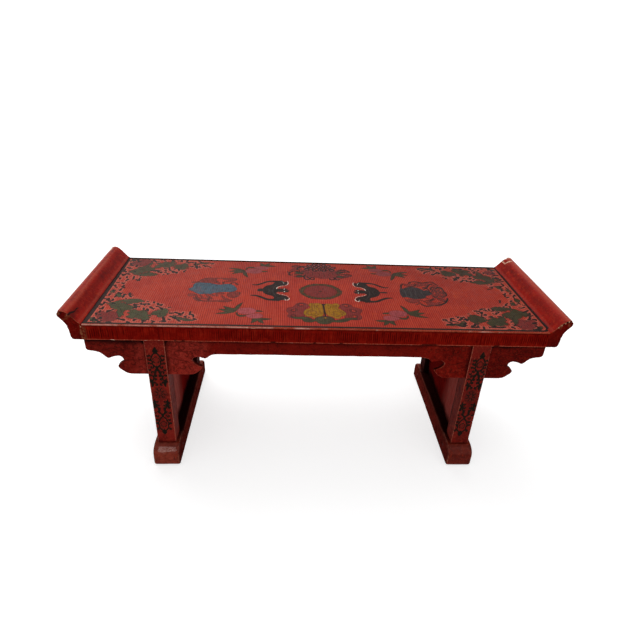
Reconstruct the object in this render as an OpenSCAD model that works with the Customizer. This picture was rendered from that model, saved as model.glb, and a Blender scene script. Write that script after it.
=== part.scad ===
// Tabletop display stand in the form of a small altar table: a flat decorated
// top with upswept end flanges, carried by two trestle ends and four aprons.
// Origin on the floor under the middle of the stand, X along the length,
// Y from front to back, Z up. All sizes in millimetres.

/* [Top] */
// Length over the tips of the two end flanges
overall_l = 555; // [530:1:580]
// Depth of the top from front to back
top_d = 182.6; // [174:0.2:192]
// Height of the flat display surface above the floor
top_h = 194.3; // [186:0.1:204]
// Thickness of the top board
top_t = 19.2; // [17:0.2:22]
// Rise of the end flanges above the display surface
flange_rise = 15.6; // [11:0.2:18]
// Distance from a flange tip in to the joint between end cap and board
cap_w = 23.5; // [22:0.5:26]

/* [Legs] */
// Distance from a flange tip in to the centre of the legs
leg_in = 95; // [92:0.5:105]
// Width of a leg along the length of the stand
leg_w = 22; // [18:0.5:24]
// Depth of a leg from front to back
leg_d = 22; // [20:0.5:25]
// Set-back of the leg face behind the edge of the top
leg_set = 2.6; // [1:0.2:5]

/* [Aprons] */
// Thickness of the apron boards
apron_t = 5; // [4:0.5:6]
// Set-back of the apron face behind the leg face
apron_set = 3; // [2:0.5:4]
// Depth of the spandrels below the top board
spandrel_drop = 48; // [42:0.5:54]

/* [Trestle ends] */
// Length of a runner from front to back
runner_l = 200; // [196:1:214]
// Width of a runner
runner_w = 32; // [28:1:36]
// Height of a runner where the legs stand on it
runner_h = 27; // [24:0.5:32]
// Thickness of the panel between the two legs of a trestle end
panel_t = 8; // [6:0.5:10]
// Height of the rail above the panel, under the top board
rail_h = 20; // [16:1:24]
// Width of that rail
rail_w = 14; // [12:0.5:16]

/* [Joinery] */
// Length of the tongue on each end of the top board
tongue_l = 8; // [6:0.5:9]
// Thickness of that tongue
tongue_t = 6; // [5:0.5:7]
// Depth of the grooves that hold the end panels
groove = 4; // [3:0.5:5]
// Diameter of the pegs that lock legs, runners and end caps
peg_d = 4; // [3:0.5:4]
// Diameter of the pegs that lock the aprons in the legs
pin_d = 3; // [2:0.5:3]

/* [Hidden] */

$fn = 48;
eps = 0.01;
under = top_h - top_t;              // underside of the top board
board_x = overall_l / 2 - cap_w;    // joint between board and end cap
leg_x = overall_l / 2 - leg_in;     // centre of the legs
leg_y = top_d / 2 - leg_set;        // outer face of the legs
leg_yi = leg_y - leg_d;             // inner face of the legs
apron_y = leg_y - apron_set;        // outer face of the long aprons
apron_x = leg_x + 75;               // outer face of the end aprons
spandrel_z = under - spandrel_drop; // lowest line of the spandrels
tongue_z = under + 6;               // underside of the tongue
tenon = 12;                         // width of the tenons along the length
rear_y = (apron_y - apron_t + leg_yi) / 2; // middle of the leg behind its slot
clr = 0.05;                         // play of a peg in its hole

c_top = [0.66, 0.14, 0.10];
c_red = [0.50, 0.09, 0.08];
c_leg = [0.55, 0.10, 0.08];
c_foot = [0.47, 0.11, 0.08];
c_dark = [0.24, 0.05, 0.05];
c_wood = [0.62, 0.44, 0.26];

// Smooth curve through a list of points. The last point is left to the next
// stretch, so that stretches joined end to end meet in a corner.
function bend(a, b, c, d, t) =
    0.5 * (2 * b + (c - a) * t + (2 * a - 5 * b + 4 * c - d) * t * t
           + (3 * b - a - 3 * c + d) * t * t * t);
function smooth(p, n = 5) =
    [for (i = [0 : len(p) - 2]) for (k = [0 : n - 1])
        bend(p[max(i - 1, 0)], p[i], p[i + 1], p[min(i + 2, len(p) - 1)], k / n)];

// End cap: distance in from the flange tip, and height above the surface
cap_upper = [[23.5, 0], [20.5, 2.4], [17.2, 6.2], [13.8, 10.2], [10.4, 13.6],
             [7.4, 15.4], [4.2, 15.6], [1.5, 14.4], [0.1, 12.4], [0, 11.4]];
cap_under = [[0, 11.4], [0.8, 8.6], [3.8, 4.8], [7, 0], [8.6, -6], [9.2, -12],
             [9.8, -16], [11, -18.4], [13, -19.2]];
function cap_pt(p) =
    [overall_l / 2 - p[0] * cap_w / 23.5,
     top_h + (p[1] > 0 ? p[1] * flange_rise / 15.6 : p[1] * top_t / 19.2)];
cap_outline = concat(
    [for (p = smooth(cap_upper)) cap_pt(p)],
    [for (p = smooth(cap_under)) cap_pt(p)],
    [[overall_l / 2 - cap_w * 13 / 23.5, under], [board_x, under]]);

// Spandrel outside the leg: distance out from the leg centre, and drop below
// the board. Each list is one curve between two corners.
out_end = [[75, 0], [75, 13], [74.3, 15.8], [71.8, 17.4], [67, 18],
           [61.4, 19.6], [57.6, 22.6], [54.8, 25.6], [52.4, 27.1]];
out_scallop = [[52.4, 27.1], [50, 26.3], [47.3, 25.1], [42.2, 24], [39, 24.5],
               [37, 26.6], [35.9, 30.2]];
out_hook = [[35.9, 30.2], [38.9, 32], [41.9, 34.6], [43.6, 37.5]];
out_lobe = [[43.6, 37.5], [42.4, 40.3], [38.4, 44], [34.6, 46.9], [30, 48]];
// Spandrel inside the leg: distance in from the leg centre
in_lobe = [[31, 48], [33, 47.9], [39.4, 47.1], [44.6, 43.8], [48, 40.2],
           [49.8, 37.3]];
in_hook = [[49.8, 37.3], [44.8, 35.2], [40.5, 32], [38.4, 28.2]];
in_scallop = [[38.4, 28.2], [40, 25.8], [42.6, 24.2], [46.5, 24], [50, 25.1],
              [53.6, 25.9]];
in_rise = [[53.6, 25.9], [56.2, 24.3], [58.6, 22.2], [62.5, 20.5], [68, 20]];
drop_k = spandrel_drop / 48;
function out_pt(p) = [leg_x + p[0], under - p[1] * drop_k];
function in_pt(p) = [leg_x - p[0], under - p[1] * drop_k];
half_apron = concat(
    [for (p = smooth(out_end)) out_pt(p)],
    [for (p = smooth(out_scallop)) out_pt(p)],
    [for (p = smooth(out_hook)) out_pt(p)],
    [for (p = smooth(out_lobe)) out_pt(p)],
    [out_pt([30, 48]), in_pt([31, 48])],
    [for (i = 1, q = smooth(in_lobe); i < len(q); i = i + 1) in_pt(q[i])],
    [for (p = smooth(in_hook)) in_pt(p)],
    [for (p = smooth(in_scallop)) in_pt(p)],
    [for (p = smooth(in_rise)) in_pt(p)],
    [in_pt([68, 20])]);

// Runner seen from the side: half its length, from the middle to the foot
foot = [[0, 27], [76, 27], [85, 26.9], [89.5, 26.3], [94, 24.7], [98, 22.2],
        [99.7, 19.6]];
function foot_pt(p, s) =
    [s * (p[0] + runner_l / 2 - 100), p[1] * runner_h / 27];
runner_side = concat(
    [for (p = smooth([for (i = [1 : 6]) foot[i]])) foot_pt(p, 1)],
    [foot_pt([99.7, 19.6], 1), foot_pt([100, 17.5], 1), foot_pt([100, 1.2], 1),
     foot_pt([99, 0], 1), foot_pt([99, 0], -1), foot_pt([100, 1.2], -1),
     foot_pt([100, 17.5], -1), foot_pt([99.7, 19.6], -1)],
    [for (i = 24, q = smooth([for (k = [1 : 6]) foot[k]]); i >= 0; i = i - 1)
        foot_pt(q[i], -1)]);

// A block centred in X and Y on the given point, standing on its Z
module block(at, size) {
    translate([at[0] - size[0] / 2, at[1] - size[1] / 2, at[2]]) cube(size);
}

// An outline in X and Z, given depth in Y from y0 to y1
module slab(outline, y0, y1) {
    translate([0, y1, 0]) rotate([90, 0, 0])
        linear_extrude(height = y1 - y0) polygon(outline);
}

// Places a part built for the right front corner in any other corner
module corner(sx, sy) {
    mirror([sx < 0 ? 1 : 0, 0, 0]) mirror([0, sy > 0 ? 1 : 0, 0]) children();
}

// ---- top ----

// Board with a tongue on each end and four sockets for the leg tenons
module board_blank() {
    difference() {
        union() {
            block([0, 0, under], [2 * board_x, top_d, top_t]);
            block([0, 0, tongue_z],
                  [2 * (board_x + tongue_l), top_d - 16, tongue_t]);
        }
        for (sx = [-1, 1]) for (sy = [-1, 1])
            block([sx * leg_x, sy * rear_y, under - 1], [tenon, 8, 11]);
        for (sx = [-1, 1]) for (y = [-60, 0, 60])
            translate([sx * (board_x + tongue_l / 2), y, under - 1])
                cylinder(d = peg_d, h = 15);
    }
}

// Full-depth cross piece that carries the upswept flange
module cap_blank() {
    difference() {
        slab(cap_outline, -top_d / 2, top_d / 2);
        translate([board_x - 1, -top_d / 2 + 8, tongue_z])
            cube([tongue_l + 1, top_d - 16, tongue_t]);
        for (y = [-60, 0, 60])
            translate([board_x + tongue_l / 2, y, under - 1])
                cylinder(d = peg_d, h = 15);
    }
}

module top_board() { color(c_top) board_blank(); }
module left_end_cap() { color(c_top) mirror([1, 0, 0]) cap_blank(); }
module right_end_cap() { color(c_top) cap_blank(); }

// ---- aprons ----

// Outline of a long apron, both spandrels and the straight rail between them
apron_outline = concat(
    half_apron,
    [for (i = len(half_apron) - 1; i >= 0; i = i - 1)
        [-half_apron[i][0], half_apron[i][1]]]);

// Long apron for the front: one board, mitred at both ends
module long_apron() {
    difference() {
        intersection() {
            slab(apron_outline, -apron_y, -apron_y + apron_t);
            translate([0, 0, spandrel_z - 1])
                linear_extrude(height = spandrel_drop + 2)
                    polygon([[-apron_x, -apron_y], [apron_x, -apron_y],
                             [apron_x - apron_t, -apron_y + apron_t],
                             [-apron_x + apron_t, -apron_y + apron_t]]);
        }
        for (s = [-1, 1]) for (d = [-1, 1])
            translate([s * leg_x + d * 7.5, -apron_y - 1, spandrel_z + 15])
                rotate([-90, 0, 0]) cylinder(d = pin_d, h = apron_t + 2);
    }
}

// End apron: a short plain board mitred to the two long ones
module end_apron() {
    intersection() {
        translate([apron_x - apron_t, -apron_y, under - 15 * drop_k])
            cube([apron_t, 2 * apron_y, 15 * drop_k]);
        translate([0, 0, spandrel_z])
            linear_extrude(height = spandrel_drop + 1)
                polygon([[apron_x, -apron_y], [apron_x, apron_y],
                         [apron_x - apron_t, apron_y - apron_t],
                         [apron_x - apron_t, -apron_y + apron_t]]);
    }
}

module front_apron() { color(c_red) long_apron(); }
module rear_apron() { color(c_red) mirror([0, 1, 0]) long_apron(); }
module left_end_apron() { color(c_red) mirror([1, 0, 0]) end_apron(); }
module right_end_apron() { color(c_red) end_apron(); }

// ---- trestle ends ----

// Leg for the right front corner: slotted at the top for the apron, with a
// tenon into the board, a tenon into the runner and a groove for the panel
module leg_blank() {
    difference() {
        union() {
            block([leg_x, -(leg_y + leg_yi) / 2, runner_h],
                  [leg_w, leg_d, under - runner_h]);
            block([leg_x, -rear_y, under - eps], [tenon, 8, 10 + eps]);
            block([leg_x, -(leg_y + leg_yi) / 2, runner_h - 18],
                  [tenon, 14, 18 + eps]);
        }
        // slot for the apron, open at the top
        translate([leg_x - leg_w, -apron_y, spandrel_z])
            cube([2 * leg_w, apron_t, spandrel_drop + 20]);
        // groove for the end panel
        translate([leg_x - panel_t / 2, -leg_yi - groove, runner_h - 1])
            cube([panel_t, groove + 1, under - rail_h - runner_h + groove + 1]);
        // mortise for the upper rail
        translate([leg_x - 4, -leg_yi - 6, under - rail_h + 4])
            cube([8, 7, rail_h - 8]);
        // holes for the apron pins, stopped inside the front cheek
        for (d = [-1, 1])
            translate([leg_x + d * 7.5, -leg_y + 1.5, spandrel_z + 15])
                rotate([-90, 0, 0]) cylinder(d = pin_d, h = leg_d);
        // hole for the runner peg through the lower tenon
        translate([leg_x - leg_w, -(leg_y + leg_yi) / 2, runner_h - 12])
            rotate([0, 90, 0]) cylinder(d = peg_d, h = 2 * leg_w);
    }
}

module left_front_leg() { color(c_leg) corner(-1, -1) leg_blank(); }
module left_rear_leg() { color(c_leg) corner(-1, 1) leg_blank(); }
module right_front_leg() { color(c_leg) corner(1, -1) leg_blank(); }
module right_rear_leg() { color(c_leg) corner(1, 1) leg_blank(); }

// Rail between the legs of one end, under the board, grooved for the panel
module rail_blank() {
    difference() {
        union() {
            block([leg_x, 0, under - rail_h], [rail_w, 2 * leg_yi, rail_h]);
            block([leg_x, 0, under - rail_h + 4],
                  [8, 2 * leg_yi + 12, rail_h - 8]);
        }
        translate([leg_x - panel_t / 2, -leg_yi - 1, under - rail_h - 1])
            cube([panel_t, 2 * leg_yi + 2, groove + 1]);
    }
}

module left_upper_rail() { color(c_dark) mirror([1, 0, 0]) rail_blank(); }
module right_upper_rail() { color(c_dark) rail_blank(); }

// Recessed panel, held in grooves on all four sides
module panel_blank() {
    block([leg_x, 0, runner_h - groove],
          [panel_t, 2 * (leg_yi + groove),
           under - rail_h - runner_h + 2 * groove]);
}

module left_end_panel() { color(c_dark) mirror([1, 0, 0]) panel_blank(); }
module right_end_panel() { color(c_dark) panel_blank(); }

// Runner with rounded feet, two mortises and the groove for the panel
module runner_blank() {
    difference() {
        translate([leg_x - runner_w / 2, 0, 0])
            rotate([90, 0, 90]) linear_extrude(height = runner_w)
                polygon(runner_side);
        for (s = [-1, 1])
            block([leg_x, s * (leg_y + leg_yi) / 2, runner_h - 18],
                  [tenon, 14, 20]);
        translate([leg_x - panel_t / 2, -leg_yi - groove, runner_h - groove])
            cube([panel_t, 2 * (leg_yi + groove), groove + 1]);
        // peg holes, drilled from the inner side and stopped short
        for (s = [-1, 1])
            translate([leg_x - runner_w / 2 - 1, s * (leg_y + leg_yi) / 2,
                       runner_h - 12])
                rotate([0, 90, 0]) cylinder(d = peg_d, h = runner_w - 4);
    }
}

module left_runner() { color(c_foot) mirror([1, 0, 0]) runner_blank(); }
module right_runner() { color(c_foot) runner_blank(); }

// ---- pegs ----

// Two pins in each leg, through the apron and into the front cheek
module apron_pins() {
    color(c_wood)
        for (sx = [-1, 1]) for (sy = [-1, 1]) corner(sx, sy)
            for (d = [-1, 1])
                translate([leg_x + d * 7.5, -leg_y + 1.5, spandrel_z + 15])
                    rotate([-90, 0, 0])
                        cylinder(d = pin_d - 2 * clr, h = leg_d - 1.5);
}

// One peg through each leg's lower tenon, driven from the inner side
module runner_pegs() {
    color(c_wood)
        for (sx = [-1, 1]) for (sy = [-1, 1]) corner(sx, sy)
            translate([leg_x - runner_w / 2, -(leg_y + leg_yi) / 2,
                       runner_h - 12])
                rotate([0, 90, 0])
                    cylinder(d = peg_d - 2 * clr, h = runner_w - 5);
}

// Three pegs up through each end cap and the board's tongue
module cap_pegs() {
    color(c_wood)
        for (sx = [-1, 1]) for (y = [-60, 0, 60])
            translate([sx * (board_x + tongue_l / 2), y, under])
                cylinder(d = peg_d - 2 * clr, h = 14);
}

top_board();
left_end_cap();
right_end_cap();
front_apron();
rear_apron();
left_end_apron();
right_end_apron();
left_front_leg();
left_rear_leg();
right_front_leg();
right_rear_leg();
left_upper_rail();
right_upper_rail();
left_end_panel();
right_end_panel();
left_runner();
right_runner();
apron_pins();
runner_pegs();
cap_pegs();
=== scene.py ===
import math

import bmesh
import bpy
import numpy as np
from mathutils import Matrix, Vector


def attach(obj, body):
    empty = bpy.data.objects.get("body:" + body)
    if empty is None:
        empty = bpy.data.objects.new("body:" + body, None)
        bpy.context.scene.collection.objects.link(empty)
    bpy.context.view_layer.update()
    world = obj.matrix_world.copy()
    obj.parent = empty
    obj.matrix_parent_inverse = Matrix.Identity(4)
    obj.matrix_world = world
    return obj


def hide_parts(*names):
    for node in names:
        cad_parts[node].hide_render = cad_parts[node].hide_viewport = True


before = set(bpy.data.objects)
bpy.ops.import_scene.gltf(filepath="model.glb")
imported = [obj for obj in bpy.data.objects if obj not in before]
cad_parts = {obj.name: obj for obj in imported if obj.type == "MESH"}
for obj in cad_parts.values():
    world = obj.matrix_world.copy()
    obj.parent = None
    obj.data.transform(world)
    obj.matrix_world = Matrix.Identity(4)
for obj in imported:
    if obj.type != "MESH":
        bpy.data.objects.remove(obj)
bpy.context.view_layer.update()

# All building below is in millimetres, in the frame of the CAD model, and is
# scaled to metres when a mesh is made.
MM = 0.001

# The sizes that the pieces share with the CAD model.
BOARD_X = 254.0     # joint between board and end cap
TIP_X = 277.5       # tip of the flanges
TOP_Z = 194.3       # display surface
UNDER_Z = 175.1     # underside of the board
HALF_D = 91.3       # half depth of the top
LEG_X = 182.5
LEG_Y = 88.7        # outer face of the legs
LEG_YI = 66.7       # inner face of the legs
APRON_Y = 85.7      # outer face of the long aprons
APRON_X = 257.5     # outer face of the end aprons
APRON_T = 5.0
RUN_H = 27.0


# ---------------------------------------------------------------- camera

def make_camera():
    yaw, pitch, roll = -0.0718455428, 0.514303935, 0.0551636548
    pos = Vector((-36.7637408, -553.564330, 467.079571)) * MM
    f = 498.137864
    f0 = Vector((-math.sin(yaw), math.cos(yaw), 0))
    r0 = Vector((math.cos(yaw), math.sin(yaw), 0))
    u0 = Vector((0, 0, 1))
    fwd = f0 * math.cos(pitch) - u0 * math.sin(pitch)
    u = u0 * math.cos(pitch) + f0 * math.sin(pitch)
    right = r0 * math.cos(roll) + u * math.sin(roll)
    up = -r0 * math.sin(roll) + u * math.cos(roll)
    data = bpy.data.cameras.new("camera")
    data.sensor_fit = "HORIZONTAL"
    data.sensor_width = 36
    data.lens = 36 * f / 640
    data.clip_start, data.clip_end = 0.01, 30
    cam = bpy.data.objects.new("camera", data)
    bpy.context.scene.collection.objects.link(cam)
    m = Matrix((right, up, -fwd)).transposed().to_4x4()
    m.translation = pos
    cam.matrix_world = m
    bpy.context.scene.camera = cam


make_camera()


# ---------------------------------------------------------------- numbers

def hashed(i, j, k, seed):
    """A repeatable random number from 0 to 1 for each lattice point."""
    n = (i * 374761393 + j * 668265263 + k * 1274126177 + seed * 974634777) & 0xFFFFFFFF
    n = ((n ^ (n >> 13)) * 1103515245) & 0xFFFFFFFF
    n = ((n ^ (n >> 16)) * 2654435761) & 0xFFFFFFFF
    return ((n ^ (n >> 15)) & 0xFFFF) / 65535.0


def noise(p, scale, seed=0):
    """Smooth noise from -1 to 1 at points p; scale is the size of its grain."""
    q = np.asarray(p, float) / np.asarray(scale, float)
    i = np.floor(q).astype(np.int64)
    f = q - i
    f = f * f * f * (f * (f * 6 - 15) + 10)
    total = np.zeros(q.shape[:-1])
    for dx in (0, 1):
        wx = f[..., 0] if dx else 1 - f[..., 0]
        for dy in (0, 1):
            wy = f[..., 1] if dy else 1 - f[..., 1]
            for dz in (0, 1):
                wz = f[..., 2] if dz else 1 - f[..., 2]
                total += wx * wy * wz * hashed(i[..., 0] + dx, i[..., 1] + dy, i[..., 2] + dz, seed)
    return total * 2 - 1


def step(a, b, x):
    t = np.clip((np.asarray(x, float) - a) / (b - a), 0, 1)
    return t * t * (3 - 2 * t)


def bend(a, b, c, d, t):
    return 0.5 * (2 * b + (c - a) * t + (2 * a - 5 * b + 4 * c - d) * t * t
                  + (3 * b - a - 3 * c + d) * t ** 3)


def smooth(points, n=5, closed=False, last=False):
    """Points on a smooth curve through the given ones, n to each stretch."""
    p = [np.array(q, float) for q in points]
    m = len(p)
    out = []
    for i in range(m if closed else m - 1):
        if closed:
            a, b, c, d = p[i - 1], p[i], p[(i + 1) % m], p[(i + 2) % m]
        else:
            a, b, c, d = p[max(i - 1, 0)], p[i], p[i + 1], p[min(i + 2, m - 1)]
        out += [bend(a, b, c, d, k / n) for k in range(n)]
    if last and not closed:
        out.append(p[-1])
    return np.array(out)


# ---------------------------------------------------------------- outlines

CAP_UPPER = [(23.5, 0), (20.5, 2.4), (17.2, 6.2), (13.8, 10.2), (10.4, 13.6),
             (7.4, 15.4), (4.2, 15.6), (1.5, 14.4), (0.1, 12.4), (0, 11.4)]
CAP_UNDER = [(0, 11.4), (0.8, 8.6), (3.8, 4.8), (7, 0), (8.6, -6), (9.2, -12),
             (9.8, -16), (11, -18.4), (13, -19.2)]
cap_profile = np.array(
    [(TIP_X - a, TOP_Z + b) for a, b in smooth(CAP_UPPER)]
    + [(TIP_X - a, TOP_Z + b) for a, b in smooth(CAP_UNDER)]
    + [(TIP_X - 13, UNDER_Z), (BOARD_X, UNDER_Z)])
cap_rise = np.array([(TIP_X - a, b) for a, b in smooth(CAP_UPPER) if a > 6])

OUT_END = [(75, 0), (75, 13), (74.3, 15.8), (71.8, 17.4), (67, 18), (61.4, 19.6),
           (57.6, 22.6), (54.8, 25.6), (52.4, 27.1)]
OUT_SCALLOP = [(52.4, 27.1), (50, 26.3), (47.3, 25.1), (42.2, 24), (39, 24.5),
               (37, 26.6), (35.9, 30.2)]
OUT_HOOK = [(35.9, 30.2), (38.9, 32), (41.9, 34.6), (43.6, 37.5)]
OUT_LOBE = [(43.6, 37.5), (42.4, 40.3), (38.4, 44), (34.6, 46.9), (30, 48)]
IN_LOBE = [(31, 48), (33, 47.9), (39.4, 47.1), (44.6, 43.8), (48, 40.2), (49.8, 37.3)]
IN_HOOK = [(49.8, 37.3), (44.8, 35.2), (40.5, 32), (38.4, 28.2)]
IN_SCALLOP = [(38.4, 28.2), (40, 25.8), (42.6, 24.2), (46.5, 24), (50, 25.1), (53.6, 25.9)]
IN_RISE = [(53.6, 25.9), (56.2, 24.3), (58.6, 22.2), (62.5, 20.5), (68, 20)]


def half_apron():
    out = []
    for part in (OUT_END, OUT_SCALLOP, OUT_HOOK, OUT_LOBE):
        out += [(LEG_X + a, UNDER_Z - b) for a, b in smooth(part)]
    out += [(LEG_X + 30, UNDER_Z - 48), (LEG_X - 31, UNDER_Z - 48)]
    out += [(LEG_X - a, UNDER_Z - b) for a, b in smooth(IN_LOBE)[1:]]
    for part in (IN_HOOK, IN_SCALLOP, IN_RISE):
        out += [(LEG_X - a, UNDER_Z - b) for a, b in smooth(part)]
    out.append((LEG_X - 68, UNDER_Z - 20))
    return out


_half = half_apron()
apron_outline = np.array(_half + [(-a, b) for a, b in reversed(_half)])

FOOT = [(76, 27), (85, 26.9), (89.5, 26.3), (93.6, 24.8), (97.0, 22.4), (99.1, 19.2), (99.9, 15.4), (100, 12)]
_foot = [tuple(q) for q in smooth(FOOT)] + [(100, 12), (100, 3.4), (99.6, 1.7), (98.6, 0.6), (97, 0)]
runner_outline = np.array(_foot + [(-a, b) for a, b in reversed(_foot)])

LEG_SIDE = np.array([
    (-LEG_Y, RUN_H), (-LEG_YI, RUN_H), (-LEG_YI, UNDER_Z), (-APRON_Y + APRON_T, UNDER_Z),
    (-APRON_Y + APRON_T, UNDER_Z - 48), (-APRON_Y, UNDER_Z - 48), (-APRON_Y, UNDER_Z),
    (-LEG_Y, UNDER_Z)])


# ---------------------------------------------------------------- painted shapes

class Painter:
    """For each colour, the distance in millimetres from every vertex to the painted shapes, negative inside."""

    REACH = 2.5

    def __init__(self, x, y):
        x, y = np.ravel(x), np.ravel(y)
        self.order = np.argsort(x, kind="stable")
        self.x, self.y = x[self.order], y[self.order]
        self.d = {}

    def near(self, lo, hi):
        a, b = np.searchsorted(self.x, [lo[0] - self.REACH, hi[0] + self.REACH])
        y = self.y[a:b]
        return a + np.nonzero((y > lo[1] - self.REACH) & (y < hi[1] + self.REACH))[0]

    def put(self, layer, at, dist):
        d = self.d.setdefault(layer, np.full(len(self.x), self.REACH))
        d[at] = np.minimum(d[at], dist)

    def take(self, layer, at, dist):
        """Cuts a shape out of a layer."""
        d = self.d.setdefault(layer, np.full(len(self.x), self.REACH))
        d[at] = np.maximum(d[at], -dist)

    def to_line(self, at, p, r):
        a, b = p[:-1], p[1:]
        ra, rb = r[:-1], r[1:]
        q = np.stack([self.x[at], self.y[at]], -1)[:, None, :]
        v = b - a
        t = np.clip(((q - a) * v).sum(-1) / np.maximum((v * v).sum(-1), 1e-9), 0, 1)
        gap = np.hypot(*np.moveaxis(q - (a + v * t[..., None]), -1, 0))
        return (gap - (ra + (rb - ra) * t)).min(1)

    def stroke(self, layer, points, width, ends=None, n=4, cut=False, closed=False):
        """A brushed line through the points, this wide in the middle and as wide as ends at its two ends."""
        p = smooth(points, n, closed=closed, last=True)
        if closed:
            p = np.vstack([p, p[:1]])
        t = np.linspace(0, 1, len(p))
        if ends is None:
            ends = (width, width)
        mid = np.sin(math.pi * t)
        r = 0.5 * (width * mid + (1 - mid) * (ends[0] + (ends[1] - ends[0]) * t))
        at = self.near(p.min(0) - r.max(), p.max(0) + r.max())
        if len(at):
            (self.take if cut else self.put)(layer, at, self.to_line(at, p, r))

    def shape(self, layer, points, n=4, grow=0.0, cut=False, rough=False):
        """A filled shape with a smooth outline through the points, or straight sides if rough."""
        p = np.array(points, float) if rough else smooth(points, n, closed=True)
        p = np.vstack([p, p[:1]])
        at = self.near(p.min(0) - grow, p.max(0) + grow)
        if not len(at):
            return
        dist = self.to_line(at, p, np.zeros(len(p)))
        x, y = self.x[at][:, None], self.y[at][:, None]
        (ax, ay), (bx, by) = p[:-1].T, p[1:].T
        over = (ay > y) != (by > y)
        with np.errstate(divide="ignore", invalid="ignore"):
            hit = over & (x < (bx - ax) * (y - ay) / (by - ay) + ax)
        inside = hit.sum(1) % 2 == 1
        (self.take if cut else self.put)(layer, at, np.where(inside, -dist, dist) - grow)

    def blob(self, layer, x, y, r, ry=None, cut=False):
        a = np.linspace(0, 2 * math.pi, 9)[:-1]
        self.shape(layer, np.stack([x + r * np.cos(a), y + (ry or r) * np.sin(a)], -1), 3, cut=cut)

    def lens(self, layer, base, tip, width, lean=0.0, vein=None, grow=0.0):
        """A pointed leaf from base to tip, with a fine vein if wanted."""
        a, b = np.array(base, float), np.array(tip, float)
        v = b - a
        side = np.array([-v[1], v[0]]) / max(np.hypot(*v), 1e-6)
        t = np.array([0.0, 0.16, 0.38, 0.62, 0.84, 1.0])
        w = np.array([0.25, 0.72, 1.0, 0.86, 0.42, 0.0]) * width / 2
        mid = a + v * t[:, None] + side * (lean * np.hypot(*v) * np.sin(math.pi * t))[:, None]
        rim = np.vstack([mid + side * w[:, None], (mid - side * w[:, None])[-2::-1]])
        self.shape(layer, rim, 3, grow)
        if vein:
            self.stroke(vein, mid[:-1], 0.55, (0.7, 0.35), 3)

    def curl(self, layer, x, y, r, start=0.0, turn=1, width=1.1, sweep=5.2):
        """A small spiral that ends in a knob."""
        t = np.linspace(0, 1, 9)
        a = start + turn * sweep * t
        rr = r * (1 - 0.72 * t)
        p = np.stack([x + rr * np.cos(a), y + rr * np.sin(a)], -1)
        self.stroke(layer, p, width, (width * 0.7, width * 0.8), 2)
        self.blob(layer, *p[-1], width * 0.62)

    def values(self, layers):
        out = {}
        for name in layers:
            v = np.full(len(self.x), self.REACH)
            v[self.order] = self.d.get(name, v.copy())
            out[name] = v
        return out


class Mirrored:
    """The same brush, turned about the middle of the top and shifted a little."""

    def __init__(self, painter, sx, sy, dx=0.0, dy=0.0):
        self.p, self.s, self.o = painter, np.array([sx, sy], float), np.array([dx, dy], float)

    def map(self, pts):
        return np.array(pts, float) * self.s + self.o

    def stroke(self, layer, points, *a, **k):
        self.p.stroke(layer, self.map(points), *a, **k)

    def shape(self, layer, points, *a, **k):
        self.p.shape(layer, self.map(points), *a, **k)

    def blob(self, layer, x, y, r, ry=None, cut=False):
        self.p.blob(layer, *self.map((x, y)), r, ry, cut)

    def lens(self, layer, base, tip, width, lean=0.0, vein=None, grow=0.0):
        self.p.lens(layer, self.map(base), self.map(tip), width, lean * self.s[0] * self.s[1], vein, grow)

    def curl(self, layer, x, y, r, start=0.0, turn=1, width=1.1, sweep=5.2):
        m = self.map((x, y))
        t = np.linspace(0, 1, 9)
        a = start + turn * sweep * t
        rr = r * (1 - 0.72 * t)
        p = np.stack([m[0] + self.s[0] * rr * np.cos(a), m[1] + self.s[1] * rr * np.sin(a)], -1)
        self.p.stroke(layer, p, width, (width * 0.7, width * 0.8), 2)
        self.p.blob(layer, *p[-1], width * 0.62)


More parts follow.
